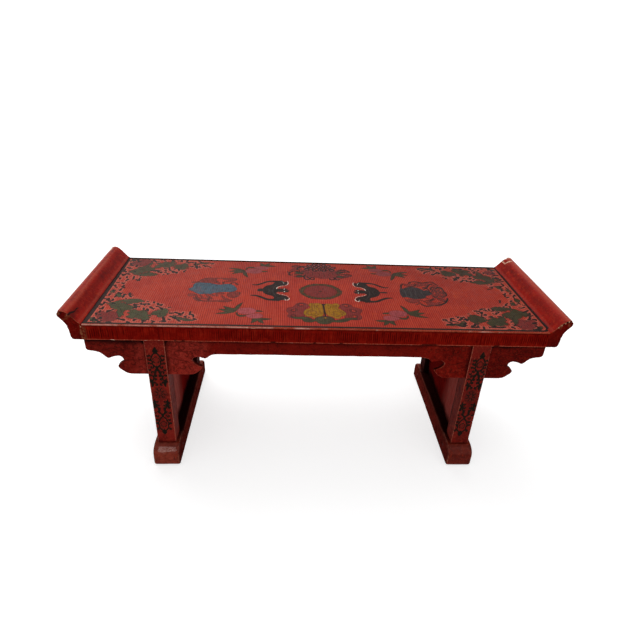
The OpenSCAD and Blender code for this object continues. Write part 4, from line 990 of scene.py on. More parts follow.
def lacquer(name, main, alt, dark, rub_a, rub_b, specular=0.16, rough=(0.32, 0.52), seed=0.0,
            rub_amount=0.85, glow=None, coat=0.0, layers=(), speck=0.30, fade=None, scrawl=0.0, plain=None):
    """Mottled old lacquer with rubbed arrises, and painted shade in the hollows and under other parts."""
    s = Shade(name)
    big = s.noise(32, 3.0, 0.55, seed=seed + 1.3)
    mid = s.noise(7.5, 4.0, 0.65, seed=seed + 2.9, warp=0.3)
    fine = s.noise(1.5, 3.0, 0.6, seed=seed + 4.7)
    hair = s.noise(2.6, 3.0, 0.7, (1.0, 1.0, 0.25), seed=seed + 6.1, warp=0.8)
    c = s.mix(s.band(big, 0.34, 0.68), main, alt)
    c = s.mix(s.band(mid, 0.48, 0.74, 0, 0.75), c, dark)
    c = s.mix(s.band(hair, 0.55, 0.72, 0, 0.40), c, dark)
    if glow:
        c = s.mix(s.band(s.noise(4.2, 4.0, 0.7, seed=seed + 8.8, warp=0.5), 0.50, 0.70, 0, 0.70), c, glow)
    # painted light: the colour is lighter over one stretch of x
    if fade:
        tone, x0, x1, much = fade
        here = s.math("MULTIPLY", s.band(s.axis("X"), x0, x1), s.band(s.axis("X"), -0.212, -0.200, 0.40, 1.0))
        c = s.mix(s.math("MULTIPLY", here, s.band(mid, 0.30, 0.62, much, much * 0.4)), c, tone)
    c = s.mix(s.band(fine, 0.55, 0.72, 0, speck), c, rub_a)
    c = s.mix(s.band(s.noise(1.9, 3.0, 0.65, seed=seed + 7.7), 0.60, 0.72, 0, 1.2 * speck), c, dark)
    if plain:
        # a smoother, less marked stretch in the middle of the piece
        tone, x0, x1, much = plain
        c = s.mix(s.band(s.math("ABSOLUTE", s.axis("X")), x0, x1, 0, much), c, tone)
    if scrawl:
        # fine old scratches and brush marks that wander over the surface
        for size, warp, wide, k in ((10.0, 2.6, 0.030, 1.0), (6.5, 1.8, 0.026, 0.8)):
            gap = s.math("ABSOLUTE", s.math("SUBTRACT", s.noise(size, 1.0, 0.5, seed=seed + size, warp=warp), 0.5))
            c = s.mix(s.math("MULTIPLY", s.band(gap, wide, 0.0), s.band(mid, 0.32, 0.55, 0.35 * scrawl, scrawl * k)), c, dark)
    edge = s.attr("arris")
    n1 = s.noise(8, 4.0, 0.65, seed=seed + 3.7)
    rub = s.band(s.math("ADD", s.math("MULTIPLY", edge, 0.72), s.math("MULTIPLY", n1, 0.6)), 0.70, 0.96)
    rub = s.math("MULTIPLY", rub, s.band(edge, 0.10, 0.55))
    tone = s.mix(s.band(fine, 0.40, 0.66), rub_a, rub_b)
    c = s.mix(s.math("MULTIPLY", rub, rub_amount), c, tone)
    nick = s.math("MULTIPLY", s.band(s.noise(3.4, 2.0, 0.5, seed=seed + 9.1), 0.68, 0.74), s.band(edge, 0.1, 0.5))
    c = s.mix(nick, c, lin(34, 14, 12))
    ragged = s.math("MULTIPLY", s.math("SUBTRACT", s.noise(1.4, 3.0, 0.6, seed=seed + 2.1), 0.5), 0.8)
    for layer, tone, tone2, soft, keep in layers:
        worn = s.band(s.noise(1.3, 4.0, 0.7, seed=seed + 3.3), 0.72, 0.58, keep * 0.35, keep)
        c = s.lay(c, layer, s.mix(s.band(fine, 0.4, 0.65), tone, tone2), soft, worn, ragged)
    # a painted pinkish sheen in streaks, then painted shade that darkens towards near black
    c = s.mix(s.math("MULTIPLY", s.attr("dust"), s.band(s.noise(3.0, 4.0, 0.65, (1, 1, 0.15), seed=seed + 4.4), 0.3, 0.7, 1.0, 0.45)),
              c, lin(150, 84, 76))
    c = s.mix(s.attr("painted_shade"), c, lin(24, 5, 5))
    r = s.band(s.noise(9, 4.0, 0.6, seed=seed + 5.9), 0.3, 0.75, rough[0], rough[1])
    r = s.math("ADD", r, s.math("MULTIPLY", rub, 0.14))
    r = s.math("ADD", r, s.math("MULTIPLY", s.attr("painted_shade"), 0.25), clamp=True)
    h = s.math("ADD", s.math("MULTIPLY", hair, 0.5), s.math("MULTIPLY", s.noise(0.9, 3.0, 0.6, seed=seed + 7.1), 0.4))
    return s.finish(c, r, s.bump(h, 0.45, 0.18), specular=specular, coat=coat)


# ---------------------------------------------------------------- solids

def sag(p, seed):
    """How far a hand-planed and hand-coated surface lies below its true plane, in millimetres."""
    return 0.09 * (0.5 + 0.5 * noise(p, 26.0, seed)) + 0.035 * (0.5 + 0.5 * noise(p, 7.0, seed + 1))


def dents(p, seed):
    """Extra loss on an arris."""
    return 0.42 * np.clip(noise(p, 9.0, seed + 2) - 0.12, 0, 1) + 0.9 * np.clip(noise(p, 4.2, seed + 3) - 0.52, 0, 1)


def cut(bm, axis, values):
    n = Vector((axis == 0, axis == 1, axis == 2))
    for v in values:
        bmesh.ops.bisect_plane(bm, geom=bm.verts[:] + bm.edges[:] + bm.faces[:], dist=1e-4,
                               plane_co=n * v, plane_no=n)


def spread(lo, hi, cell):
    k = max(1, int(round((hi - lo) / cell)))
    return [lo + (hi - lo) * i / k for i in range(1, k)]


def solid(name, outline, axis, lo, hi, radius, cell=3.0, seed=0, mitres=(), fine=None, painted_shade=None,
          wear=1.0, move=None, dense=None, paint=None, sharp_at=24, keen=(0.12, 0.40), calm=None):
    """A board or block with this outline, rubbed arrises and a slightly uneven surface.

    axis "y": the outline is in X and Z and runs from lo to hi along Y. axis "x": it is in Y and Z.
    mitres are planes (point, normal) that cut away what is in front of them."""
    bm = bmesh.new()

    def place(a, b, t):
        return (a, t, b) if axis == "y" else (t, a, b)

    n = len(outline)
    first = [bm.verts.new(place(a, b, lo)) for a, b in outline]
    second = [bm.verts.new(place(a, b, hi)) for a, b in outline]
    bm.faces.new(first)
    bm.faces.new(list(reversed(second)))
    for i in range(n):
        j = (i + 1) % n
        bm.faces.new((first[j], first[i], second[i], second[j]))
    bmesh.ops.recalc_face_normals(bm, faces=bm.faces[:])
    bm.normal_update()
    whole = np.array([v.co for v in bm.verts])
    sharp = [e for e in bm.edges if len(e.link_faces) == 2 and e.calc_face_angle(0) > math.radians(sharp_at)]
    if fine:
        sharp = [e for e in sharp if not fine(e)]
    bmesh.ops.bevel(bm, geom=sharp, offset=radius, offset_type="OFFSET", segments=3, profile=0.5,
                    affect="EDGES", clamp_overlap=False, loop_slide=True)
    if fine:
        small = [e for e in bm.edges if len(e.link_faces) == 2
                 and e.calc_face_angle(0) > math.radians(40) and fine(e)]
        bmesh.ops.bevel(bm, geom=small, offset=0.3, offset_type="OFFSET", segments=2, profile=0.5,
                        affect="EDGES", clamp_overlap=False, loop_slide=True)
    for co, no in mitres:
        got = bmesh.ops.bisect_plane(bm, geom=bm.verts[:] + bm.edges[:] + bm.faces[:], dist=1e-4,
                                     plane_co=co, plane_no=no, clear_outer=True)
        rim = [e for e in got["geom_cut"] if isinstance(e, bmesh.types.BMEdge)]
        bmesh.ops.contextual_create(bm, geom=rim)
    for k in range(3):
        cut(bm, k, spread(whole[:, k].min(), whole[:, k].max(), cell))
    bmesh.ops.recalc_face_normals(bm, faces=bm.faces[:])
    bm.normal_update()
    if dense:
        test, times = dense
        edges = list({e for f in bm.faces if test(f) for e in f.edges})
        bmesh.ops.subdivide_edges(bm, edges=edges, cuts=times, use_grid_fill=True)
        bm.normal_update()
    bm.verts.ensure_lookup_table()
    bm.verts.index_update()
    co = np.array([v.co for v in bm.verts])
    no = np.array([v.normal for v in bm.verts])
    arris = np.zeros(len(co))
    for e in bm.edges:
        if len(e.link_faces) != 2:
            continue
        a = e.calc_face_angle_signed(0)
        if a > 0.10:
            for v in e.verts:
                arris[v.index] = max(arris[v.index], a)
    arris = step(*keen, arris)
    if calm is not None:
        arris = arris * calm(co)
    loss = sag(co, seed) + wear * arris * dents(co, seed)
    flat = co.copy()
    co = co - no * loss[:, None]
    if move is not None:
        co = move(co, no)
    co = np.clip(co, whole.min(0), whole.max(0))
    # painted shade: how dark each point is painted, from the piece's shade function
    shade_mask = painted_shade(co, no) if painted_shade is not None else np.zeros(len(co))
    for v, q in zip(bm.verts, co):
        v.co = Vector(q * MM)
    mesh = bpy.data.meshes.new(name)
    bm.to_mesh(mesh)
    bm.free()
    values = {"arris": arris, "painted_shade": shade_mask}
    if paint is not None:
        values.update(paint(flat, no))
    return made(name, mesh, values)


def made(name, mesh, values):
    for key, v in values.items():
        mesh.attributes.new(key, "FLOAT", "POINT").data.foreach_set("value", np.asarray(v, np.float32))
    mesh.polygons.foreach_set("use_smooth", np.ones(len(mesh.polygons), bool))
    mesh.update()
    ob = bpy.data.objects.new(name, mesh)
    bpy.context.scene.collection.objects.link(ob)
    return ob


def weighted(ob):
    m = ob.modifiers.new("normals", "WEIGHTED_NORMAL")
    m.mode = "FACE_AREA"
    m.weight = 50


def second(ob, material, test):
    """Gives another material to the faces that pass the test, by their normals and centres."""
    mesh = ob.data
    mesh.materials.append(material)
    n, c = np.zeros(len(mesh.polygons) * 3), np.zeros(len(mesh.polygons) * 3)
    mesh.polygons.foreach_get("normal", n)
    mesh.polygons.foreach_get("center", c)
    pick = test(n.reshape(-1, 3), c.reshape(-1, 3) / MM)
    mesh.polygons.foreach_set("material_index", np.where(pick, len(mesh.materials) - 1, 0).astype(np.int32))
    mesh.update()


def placed(ob, node, material):
    ob.data.materials.clear()
    ob.data.materials.append(material)
    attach(ob, "root")
    if node:
        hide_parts(node)
    return ob


# ---------------------------------------------------------------- the materials of the carcass

M_TOP = lacquer_top("lacquer_top", 0.020)
M_EDGE = lacquer_top("lacquer_top_edge", 0.0)
CAP = dict(seed=11.0, speck=0.35, rub_amount=0.6)
# on the caps the band layer is a painted reflection, and the cream layer holds chips and a painted highlight on the
# crest
M_CAP = lacquer("lacquer_cap", lin(138, 18, 8), lin(118, 12, 6), lin(84, 6, 4), lin(158, 62, 42),
                lin(184, 116, 92), specular=0.020, rough=(0.24, 0.38), glow=lin(158, 42, 16),
                layers=(("band", lin(160, 74, 58), lin(150, 52, 36), 2.2, 0.74),
                        ("bare", lin(150, 88, 60), lin(112, 54, 38), 0.3, 0.95),
                        ("cream", lin(214, 176, 150), lin(160, 92, 74), 0.25, 0.9),
                        ("dark", lin(26, 17, 14), lin(16, 10, 9), 0.3, 0.97)), **CAP)
M_CAP_END = lacquer("lacquer_cap_end", lin(94, 8, 4), lin(78, 6, 4), lin(54, 4, 3), lin(132, 54, 38),
                    lin(150, 80, 58), specular=0.004, rough=(0.34, 0.50), glow=lin(116, 20, 10),
                    layers=(("bare", lin(128, 74, 48), lin(92, 40, 26), 0.35, 0.85),
                            ("cream", lin(196, 164, 130), lin(150, 100, 74), 0.3, 1.0),
                            ("dark", lin(30, 18, 15), lin(18, 11, 10), 0.3, 0.97)), **CAP)
# painted light makes the aprons lighter towards the left leg
M_APRON = lacquer("lacquer_apron", lin(112, 16, 9), lin(88, 8, 5), lin(44, 3, 3), lin(144, 58, 40),
                  lin(158, 90, 70), specular=0.006, rough=(0.34, 0.52), seed=23.0, glow=lin(136, 32, 18), speck=0.44,
                  fade=(lin(156, 52, 42), -0.118, -0.136, 0.68), scrawl=0.75, rub_amount=0.75,
                  plain=(lin(104, 17, 11), 0.125, 0.105, 0.70),
                  layers=(("dark", lin(48, 8, 6), lin(60, 14, 9), 0.5, 0.62),))
LEG = dict(rough=(0.30, 0.48), seed=37.0, glow=lin(140, 44, 28), speck=0.55)
M_LEG = lacquer("lacquer_leg", lin(118, 24, 16), lin(98, 15, 10), lin(62, 7, 6), lin(154, 72, 54),
                lin(174, 106, 86), specular=0.020, rub_amount=0.78, scrawl=0.3,
                layers=(("bloom", lin(82, 20, 16), lin(66, 24, 18), 0.9, 0.52),
                        ("dark", lin(24, 20, 11), lin(12, 9, 7), 0.24, 1.0)), **LEG)
M_LEG_SIDE = lacquer("lacquer_leg_side", lin(108, 34, 26), lin(88, 20, 15), lin(48, 7, 6), lin(134, 66, 54),
                     lin(146, 84, 70), specular=0.003, rub_amount=0.4, scrawl=0.4, **LEG)
FEET = dict(seed=41.0, speck=0.60, scrawl=0.50)
# painted light makes the left runner lighter, and a painted highlight in cream lies on the left front foot
M_RUNNER = lacquer("lacquer_runner", lin(108, 28, 15), lin(84, 17, 10), lin(42, 7, 5), lin(146, 74, 50),
                   lin(168, 112, 90), specular=0.028, rough=(0.18, 0.36), fade=(lin(140, 58, 42), -0.12, -0.19, 0.8),
                   glow=lin(140, 42, 20), layers=(("cream", lin(190, 146, 138), lin(132, 76, 64), 0.7, 0.74),), **FEET)
M_RUNNER_SIDE = lacquer("lacquer_runner_side", lin(84, 23, 18), lin(62, 14, 11), lin(34, 8, 7), lin(108, 52, 42),
                        lin(120, 68, 56), specular=0.0, rough=(0.40, 0.60), rub_amount=0.35, glow=lin(100, 40, 30), **FEET)
M_INSIDE = lacquer("lacquer_inside", lin(112, 12, 9), lin(92, 7, 6), lin(52, 4, 4), lin(122, 44, 36),
                   lin(128, 62, 52), specular=0.0, rough=(0.45, 0.65), seed=53.0, rub_amount=0.4)


def bamboo():
    s = Shade("bamboo_peg")
    grain = s.noise(1.1, 3.0, 0.6, (1.0, 1.0, 0.15), seed=2.0)
    c = s.mix(s.band(grain, 0.35, 0.7), lin(170, 134, 88), lin(128, 92, 54))
    c = s.mix(s.band(s.noise(3.0, 3.0, 0.6, seed=3.0), 0.55, 0.75, 0, 0.5), c, lin(92, 60, 38))
    # the ends that come to the surface were lacquered over with the runners and caps
    x, z = s.math("ABSOLUTE", s.axis("X")), s.axis("Z")
    low = s.band(z, 0.030, 0.028)
    end = s.math("MULTIPLY", low, s.band(x, 0.1675, 0.1670))
    sole = s.math("MULTIPLY", s.band(z, 0.1757, 0.1754), s.band(z, 0.1740, 0.1745))
    covered = s.math("ADD", end, sole, clamp=True)
    red = s.mix(s.band(s.noise(2.4, 3.0, 0.6, seed=5.0), 0.35, 0.65), lin(84, 18, 13), lin(56, 10, 8))
    c = s.mix(covered, c, red)
    r = s.band(s.noise(2.0, 2.0, 0.5, seed=4.0), 0.3, 0.7, 0.5, 0.7)
    return s.finish(c, r, s.bump(grain, 0.4, 0.1), specular=0.02)


M_BAMBOO = bamboo()


# ---------------------------------------------------------------- carcass

def under_top(co, no):
    """Painted shade on an apron or leg close under the board, beside the legs, on the inner face and towards the ends.
    """
    x, y, z = co[:, 0], np.abs(co[:, 1]), co[:, 2]
    reach = np.where(x < -LEG_X + 20, 10.0, 7.0)
    top = step(1.0, 0.35, (UNDER_Z - z + 1.5 * noise(co, 11, 5)) / reach)
    side = np.abs(np.abs(x) - LEG_X) - 11.0
    near = step(5.0, 0.2, side + 1.5 * noise(co, 9, 6)) * (side > -0.6)
    back = step(APRON_Y - 0.8, APRON_Y - 3.0, y)
    outer = 0.25 * step(LEG_X + 8, LEG_X + 24, np.abs(x) + 6 * noise(co, 13, 9))
    return np.clip(0.72 * top + 0.45 * near + outer + 0.75 * back, 0, 1)


def apron_scroll(sy):
    """Faint dark scrolls on the outer faces of both spandrels."""
    def paint(flat, facing):
        b = Painter(flat[:, 0], flat[:, 2])
        for m in (1, -1):
            for x, z, r, start, turn in ((249, 168, 4.6, 1.0, 1), (240, 165, 4.2, 3.4, -1), (231, 169, 4.4, 0.2, 1), (222, 164, 4.8, 2.2, -1),
                                         (213, 168.5, 4.2, 4.6, 1), (203, 163, 4.6, 1.6, -1), (226, 155, 3.6, 5.2, 1), (218, 150, 3.8, 2.8, -1),
                                         (208, 154, 4.4, 0.6, 1), (219, 138.6, 4.4, 3.8, -1), (210, 142, 4.6, 1.2, 1), (202, 136, 4.2, 5.0, -1),
                                         (201, 149, 3.6, 2.4, 1), (163, 167.6, 4.6, 2.0, 1), (153, 164, 4.4, 0.4, -1), (143, 168, 4.2, 3.2, 1),
                                         (133, 165.6, 3.8, 5.4, -1), (161, 156, 4.2, 4.2, -1), (150, 153.6, 4.0, 1.0, 1), (163, 144, 4.4, 2.6, 1),
                                         (154, 138, 4.4, 0.0, -1), (145, 137, 3.6, 4.0, 1), (163, 133, 3.4, 1.4, -1)):
                s = start if m > 0 else math.pi - start
                b.curl("dark", m * x, z, r, s, turn * m, 1.25, 4.6)
            for line in ([(254, 163), (246, 159.6), (238, 158.6), (230, 162), (222, 158.4), (212, 160.6), (202, 157)],
                         [(229, 146), (222, 143.6), (215, 145.6), (207, 146.6), (201, 142)],
                         [(166, 161.6), (157, 159.6), (148, 158.4), (139, 161)], [(166, 150), (158, 147), (150, 145.6), (142, 141.6)]):
                b.stroke("dark", np.array(line) * (m, 1), 1.2, (0.7, 0.7))
        out = b.values(("dark",))["dark"]
        return {"dark": np.where(facing[:, 1] * sy > 0.6, out, 2.5)}
    return paint


for sy, word in ((-1, "front"), (1, "rear")):
    lo, hi = sorted((sy * APRON_Y, sy * (APRON_Y - APRON_T)))
    cuts = [(Vector((sx * APRON_X, sy * APRON_Y, 0)), Vector((sx, -sy, 0)).normalized()) for sx in (-1, 1)]
    ob = solid(word + "_apron_board", apron_outline, "y", lo, hi, 0.75, cell=3.0, seed=100 + sy, mitres=cuts,
               painted_shade=under_top, paint=apron_scroll(sy),
               dense=(lambda f, sy=sy: f.normal.y * sy > 0.9 and abs(f.calc_center_median().x) > 124, 4))
    placed(ob, word + "_apron", M_APRON)
    weighted(ob)

for sx, word in ((-1, "left"), (1, "right")):
    lo, hi = sorted((sx * APRON_X, sx * (APRON_X - APRON_T)))
    rect = [(-APRON_Y, UNDER_Z - 15), (APRON_Y, UNDER_Z - 15), (APRON_Y, UNDER_Z), (-APRON_Y, UNDER_Z)]
    cuts = [(Vector((sx * APRON_X, sy * APRON_Y, 0)), Vector((-sx, sy, 0)).normalized()) for sy in (-1, 1)]
    # painted shade close under the board
    ob = solid(word + "_end_apron_board", rect, "x", lo, hi, 0.6, cell=3.5, seed=120 + sx, mitres=cuts,
               painted_shade=lambda co, no: 0.85 * step(4.0, 0.0, UNDER_Z - co[:, 2] + noise(co, 11, 5)))
    placed(ob, word + "_end_apron", M_APRON)
    weighted(ob)


def in_slot(e):
    return all(-APRON_Y - 0.2 < -abs(v.co.y) < -APRON_Y + APRON_T + 0.2 for v in e.verts)


# painted shade on a leg: low by the runner, close under the board, on its inner faces and sides, and lower down on the
# right legs
def leg_shade(co, no):
    z = co[:, 2]
    inner = step(-0.2, 0.5, -no[:, 1] * np.sign(co[:, 1])) * np.where(co[:, 1] > 0, 0.88, 0.40)
    inner = inner + 0.55 * (np.abs(no[:, 0]) > 0.5) * (co[:, 1] > 0)
    side = (np.abs(no[:, 0]) > 0.5) * (co[:, 1] < 0)
    inner = inner + side * 0.45 * step(-73, -66, co[:, 1]) * (z < UNDER_Z)
    low = step(5.0, 0.0, z - RUN_H + 1.5 * noise(co, 8, 7)) * 0.55
    top = step(3.0, 0.0, UNDER_Z - z + 1.0 * noise(co, 9, 8)) * 0.7
    # painted shade on the right legs, more towards the bottom
    worn = 0.16 * (co[:, 0] > 0) * step(140, 80, z)
    return np.clip(low + top + inner + worn, 0, 1)


def leg_face(sx, sy):
    """The painted outer face of a leg."""
    def paint(flat, facing):
        b = Painter((flat[:, 0] - sx * LEG_X), flat[:, 2])
        leg_scroll(b, 1.0, 0.0 if sx > 0 else -0.6, 4.4 if sx > 0 else 1.4)
        out = b.values(("dark", "bloom"))
        out["dark"] = out["dark"] - (0.20 if sx > 0 else 0.16)
        off = step(1.2, 0.3, LEG_Y - flat[:, 1] * sy)
        return {k: v * off + 2.5 * (1 - off) for k, v in out.items()}
    return paint


for sx, wx in ((-1, "left"), (1, "right")):
    for sy, wy in ((-1, "front"), (1, "rear")):
        side = LEG_SIDE.copy()
        if sy > 0:
            side[:, 0] *= -1
        face = lambda f, sy=sy: f.normal.y * sy > 0.9 and f.calc_center_median().y * sy > LEG_Y - 0.1
        ob = solid(f"{wx}_{wy}_leg_post", side, "x", sx * LEG_X - 11, sx * LEG_X + 11, 1.25, cell=2.4,
                   seed=140 + 3 * sx + sy, fine=in_slot, painted_shade=leg_shade, dense=(face, 4), paint=leg_face(sx, sy))
        placed(ob, f"{wx}_{wy}_leg", M_LEG)
        second(ob, M_LEG_SIDE, lambda n, c, sy=sy: n[:, 1] * sy < 0.35)
        weighted(ob)
    # painted shade on a runner: at its foot, on its underside, and on its top between and under the legs
    shade_mask = lambda co, no: np.clip(0.55 * step(1.5, 0.0, co[:, 2]) + 0.4 * (no[:, 2] < -0.5)
                                  + 0.94 * step(16.0, 13.6, np.abs(np.abs(co[:, 0]) - LEG_X) + 0.8 * noise(co, 14, 11))
                                  * (no[:, 2] > 0.5) * step(LEG_Y + 2, LEG_YI, np.abs(co[:, 1])), 0, 1)
    # a painted highlight in cream on the slope of the left front foot, and a painted sheen on the up-facing faces of
    # the front feet
    def rubbed(flat, facing, sx=sx):
        x, y, z = flat.T
        gap = np.maximum(np.abs(x + 181.6) - 10.4, np.abs(y + 96.2) - 2.2) + 1.4 * noise(flat, (5.0, 2.2, 2.2), 231)
        return {"cream": np.clip(np.where((facing[:, 2] > 0.2) & (sx < 0), gap, 2.5), -2.5, 2.5),
                "dust": 0.22 * step(0.15, 0.5, facing[:, 2]) * (y < -LEG_Y)}

    ob = solid(wx + "_runner_block", runner_outline, "x", sx * LEG_X - 16, sx * LEG_X + 16, 2.8, cell=2.9,
               seed=160 + sx, painted_shade=shade_mask, keen=(0.20, 0.50), sharp_at=36, paint=rubbed,
               dense=(lambda f: f.normal.z > 0.2 and f.calc_center_median().y < -88, 2))
    placed(ob, wx + "_runner", M_RUNNER)
    second(ob, M_RUNNER_SIDE, lambda n, c: (np.abs(n[:, 0]) > 0.6) | (n[:, 2] < -0.5) | ((n[:, 2] > 0.5) & (np.abs(c[:, 1]) < LEG_YI)))
    weighted(ob)
    zt = UNDER_Z - 20
    rect = [(-LEG_YI, RUN_H), (LEG_YI, RUN_H), (LEG_YI, zt), (-LEG_YI, zt)]
    # painted shade on an end panel: low by the runner, towards the rear, and under the rail
    edge = lambda co, no, sx=sx: np.clip(0.8 * step(14, 1, co[:, 2] - RUN_H + 4 * noise(co, 12, 3))
                                  + (0.38 * step(-46, 14, co[:, 1] + 7 * noise(co, 16, 4)) if sx < 0 else
                                     0.52 * step(-60, 0, co[:, 1] + 7 * noise(co, 16, 4)))
                                  + 0.5 * step(8, 0, zt - co[:, 2]), 0, 1)
    # a painted reflection, paler towards the front of the panel
    ob = solid(wx + "_end_panel_board", rect, "x", sx * LEG_X - 4, sx * LEG_X + 4, 0.3, cell=4.5,
               seed=180 + sx, painted_shade=edge,
               paint=lambda flat, no, sx=sx: {"dust": (0.80 * step(6, -42, flat[:, 1] + 5 * noise(flat, (9, 9, 40), 15)) if sx < 0 else
                                                   0.52 * step(-8, -32, flat[:, 1] + 5 * noise(flat, (9, 9, 40), 15)))})
    placed(ob, wx + "_end_panel", M_INSIDE)
    weighted(ob)
    rect = [(-LEG_YI, zt), (LEG_YI, zt), (LEG_YI, UNDER_Z), (-LEG_YI, UNDER_Z)]
    # painted shade on the upper rail, darker towards the rear
    ob = solid(wx + "_upper_rail_bar", rect, "x", sx * LEG_X - 7, sx * LEG_X + 7, 0.8, cell=4.0,
               seed=190 + sx, painted_shade=lambda co, no: 0.5 + 0.4 * step(-40, 30, co[:, 1]))
    placed(ob, wx + "_upper_rail", M_INSIDE)
    weighted(ob)


# end caps with the upswept flanges
def cap_shape(sx):
    def move(co, no):
        # chips at the front end of the tip and at the rear end of the right one
        x, y, z = np.abs(co[:, 0]), co[:, 1], co[:, 2]
        bite = np.zeros(len(co))
        spots = [(275.5, -90.5, 207.5, 3.6, 1.1), (268.0, -90.8, 205.0, 2.0, 0.6)] if sx < 0 else \
                [(275.0, -90.5, 207.5, 3.2, 0.9), (270.5, -90.8, 206.5, 2.4, 0.6), (268.5, 90.5, 207.0, 3.4, 1.0)]
        for cx, cy, cz, r, deep in spots:
            d = np.sqrt((x - cx) ** 2 + (y - cy) ** 2 + (z - cz) ** 2)
            bite = np.maximum(bite, deep * step(r, 0.0, d + 0.8 * noise(co, 1.7, 9)))
        return co - no * bite[:, None]
    return move


def cap_paint(sx):
    """The border line that laps over the joint, and the chips and the crack of the old flange."""
    def paint(flat, facing):
        x, y, z = np.abs(flat[:, 0]), flat[:, 1], flat[:, 2]
        wave = noise(flat, 6.0, 210)
        upper = (z > TOP_Z - 0.6) & (facing[:, 2] > 0.2)
        far = np.full(len(x), 2.5)
        if sx < 0:
            line = np.where(y < 88, 254.9 + 0.4 * np.clip(y / 90, -1, 1), 255.4) - x
        else:
            line = np.where(y > -83.5, 255.1 + 0.5 * step(-20, -70, y) - 0.6 * step(60, 90, y), 0) - x
        dark = np.where(upper, np.clip(-line + 0.3 * wave, -2.5, 2.5), far)
        cream, bare, band = far.copy(), far.copy(), far.copy()
        d = TIP_X - x
        long = noise(flat, (8, 60, 8), 215)
        # painted reflections: a lighter crest, and one or two long lighter streaks down the slope
        crest = np.abs(d - 3.2) - 2.2 + 0.5 * long if sx < 0 else d - 8.6 + 0.8 * long
        np.minimum(band, np.where(upper, crest, 2.5), out=band)
        if sx < 0:
            np.minimum(band, np.where(upper, np.abs(d - 9.0 + 0.8 * long) - 1.2 + 1.6 * step(40, 80, y), 2.5), out=band)
            np.minimum(band, np.where(upper, np.abs(d - 20.4 + 0.6 * long) - 0.2, 2.5), out=band)
        else:
            np.minimum(band, np.where(upper, np.abs(d - 20.6 + 0.6 * long) + 0.6, 2.5), out=band)

        def spot(layer, cx, cy, cz, r, stretch=(1, 1, 1)):
            d = np.sqrt((((np.stack([x, y, z], -1) - (cx, cy, cz)) / stretch) ** 2).sum(-1)) - r + 0.5 * wave
            np.minimum(layer, d, out=layer)

        if sx < 0:
            spot(bare, 275.2, -90.8, 206.8, 2.0, (1.1, 1, 1))
            spot(dark, 272.4, -90.9, 207.6, 1.3)
            spot(dark, 276.8, -89.8, 205.0, 1.3)
            spot(cream, 267.0, -90.4, 205.0, 1.0, (1.3, 1.2, 1))
            spot(bare, 256.2, -91.2, 190.0, 0.2, (1, 1, 1))
            # a worn brownish band beside the joint, with a pale and a black spot
            worn = np.abs(x - 255.6) + 6.0 * (y > -91.0) - 0.9 + 1.1 * noise(flat, 3.0, 212)
            np.minimum(bare, worn, out=bare)
            spot(cream, 255.2, -91.3, 191.0, 0.8)
            spot(dark, 255.4, -91.3, 188.6, 0.9)
            # a crack that runs from the front edge up the slope
            for t in np.linspace(0, 1, 26):
                cx = 264.8 - 2.6 * t + 0.4 * math.sin(9 * t)
                spot(dark, cx, -91.2 + 20 * t, TOP_Z + float(np.interp(cx, cap_rise[:, 0], cap_rise[:, 1])), 0.95 * (1 - 0.5 * t))
        else:
            for cx, cy, cz, r in ((275.0, -90.7, 208.0, 0.9), (271.6, -90.8, 208.6, 0.8), (267.8, -90.9, 206.6, 0.8), (264.6, -91.0, 204.0, 0.7),
                                  (261.6, -91.0, 201.0, 0.6), (266.6, 90.4, 207.0, 1.3), (267.6, 89.0, 207.6, 1.2), (268.8, 87.8, 208.4, 1.2),
                                  (270.4, 87.4, 209.2, 1.1), (272.0, 87.8, 209.7, 1.1), (273.6, 88.6, 209.6, 1.0)):
                spot(cream, cx, cy, cz, r)
            # the pale edge of a chip at the rear end of the slope
            chip = [(263.8, 91.3), (263.7, 85.5), (263.7, 79.7), (266.8, 78.7), (268.6, 77.9), (270.7, 77.4)]
            for (x0, y0), (x1, y1) in zip(chip[:-1], chip[1:]):
                for t in np.linspace(0, 1, 9):
                    cx, cy = x0 + (x1 - x0) * t, y0 + (y1 - y0) * t
                    cz = TOP_Z + float(np.interp(cx, cap_rise[:, 0], cap_rise[:, 1]))
                    spot(cream, cx, cy, cz, 1.3 if cx < 269 else 0.8)
                    spot(dark, cx + 0.6, cy + 2.6, cz + 0.6, 0.35)
            for cx, cy, cz, r in ((273.2, -90.6, 208.8, 1.1), (269.6, -90.8, 207.8, 1.0), (266.0, -90.9, 205.4, 0.9), (271.0, 90.4, 208.8, 1.2)):
                spot(dark, cx, cy, cz, r)
        # the lacquer is worn to a tan line along the front edge of the rise
        edge = np.abs(np.abs(y) - 90.9) + 3.0 * (z < TOP_Z - 1) + 0.9 * noise(flat, 4.0, 211)
        np.minimum(bare, edge + 0.15, out=bare)
        # a painted highlight: a thin bright line along the crest
        crest = np.abs(TIP_X - x - 3.4 + 0.5 * noise(flat, (9, 30, 9), 213)) - 0.1 + 3.0 * (z < TOP_Z + 12)
        crest = crest + 0.8 + 1.2 * noise(flat, (7.0, 16.0, 7.0), 214) - 0.5 * step(-60, 60, y)
        np.minimum(cream, crest, out=cream)
        return {"dark": dark, "cream": cream, "bare": bare, "band": band}
    return paint


def at_joint(e):
    return all(abs(abs(v.co.x) - BOARD_X) < 0.2 for v in e.verts)


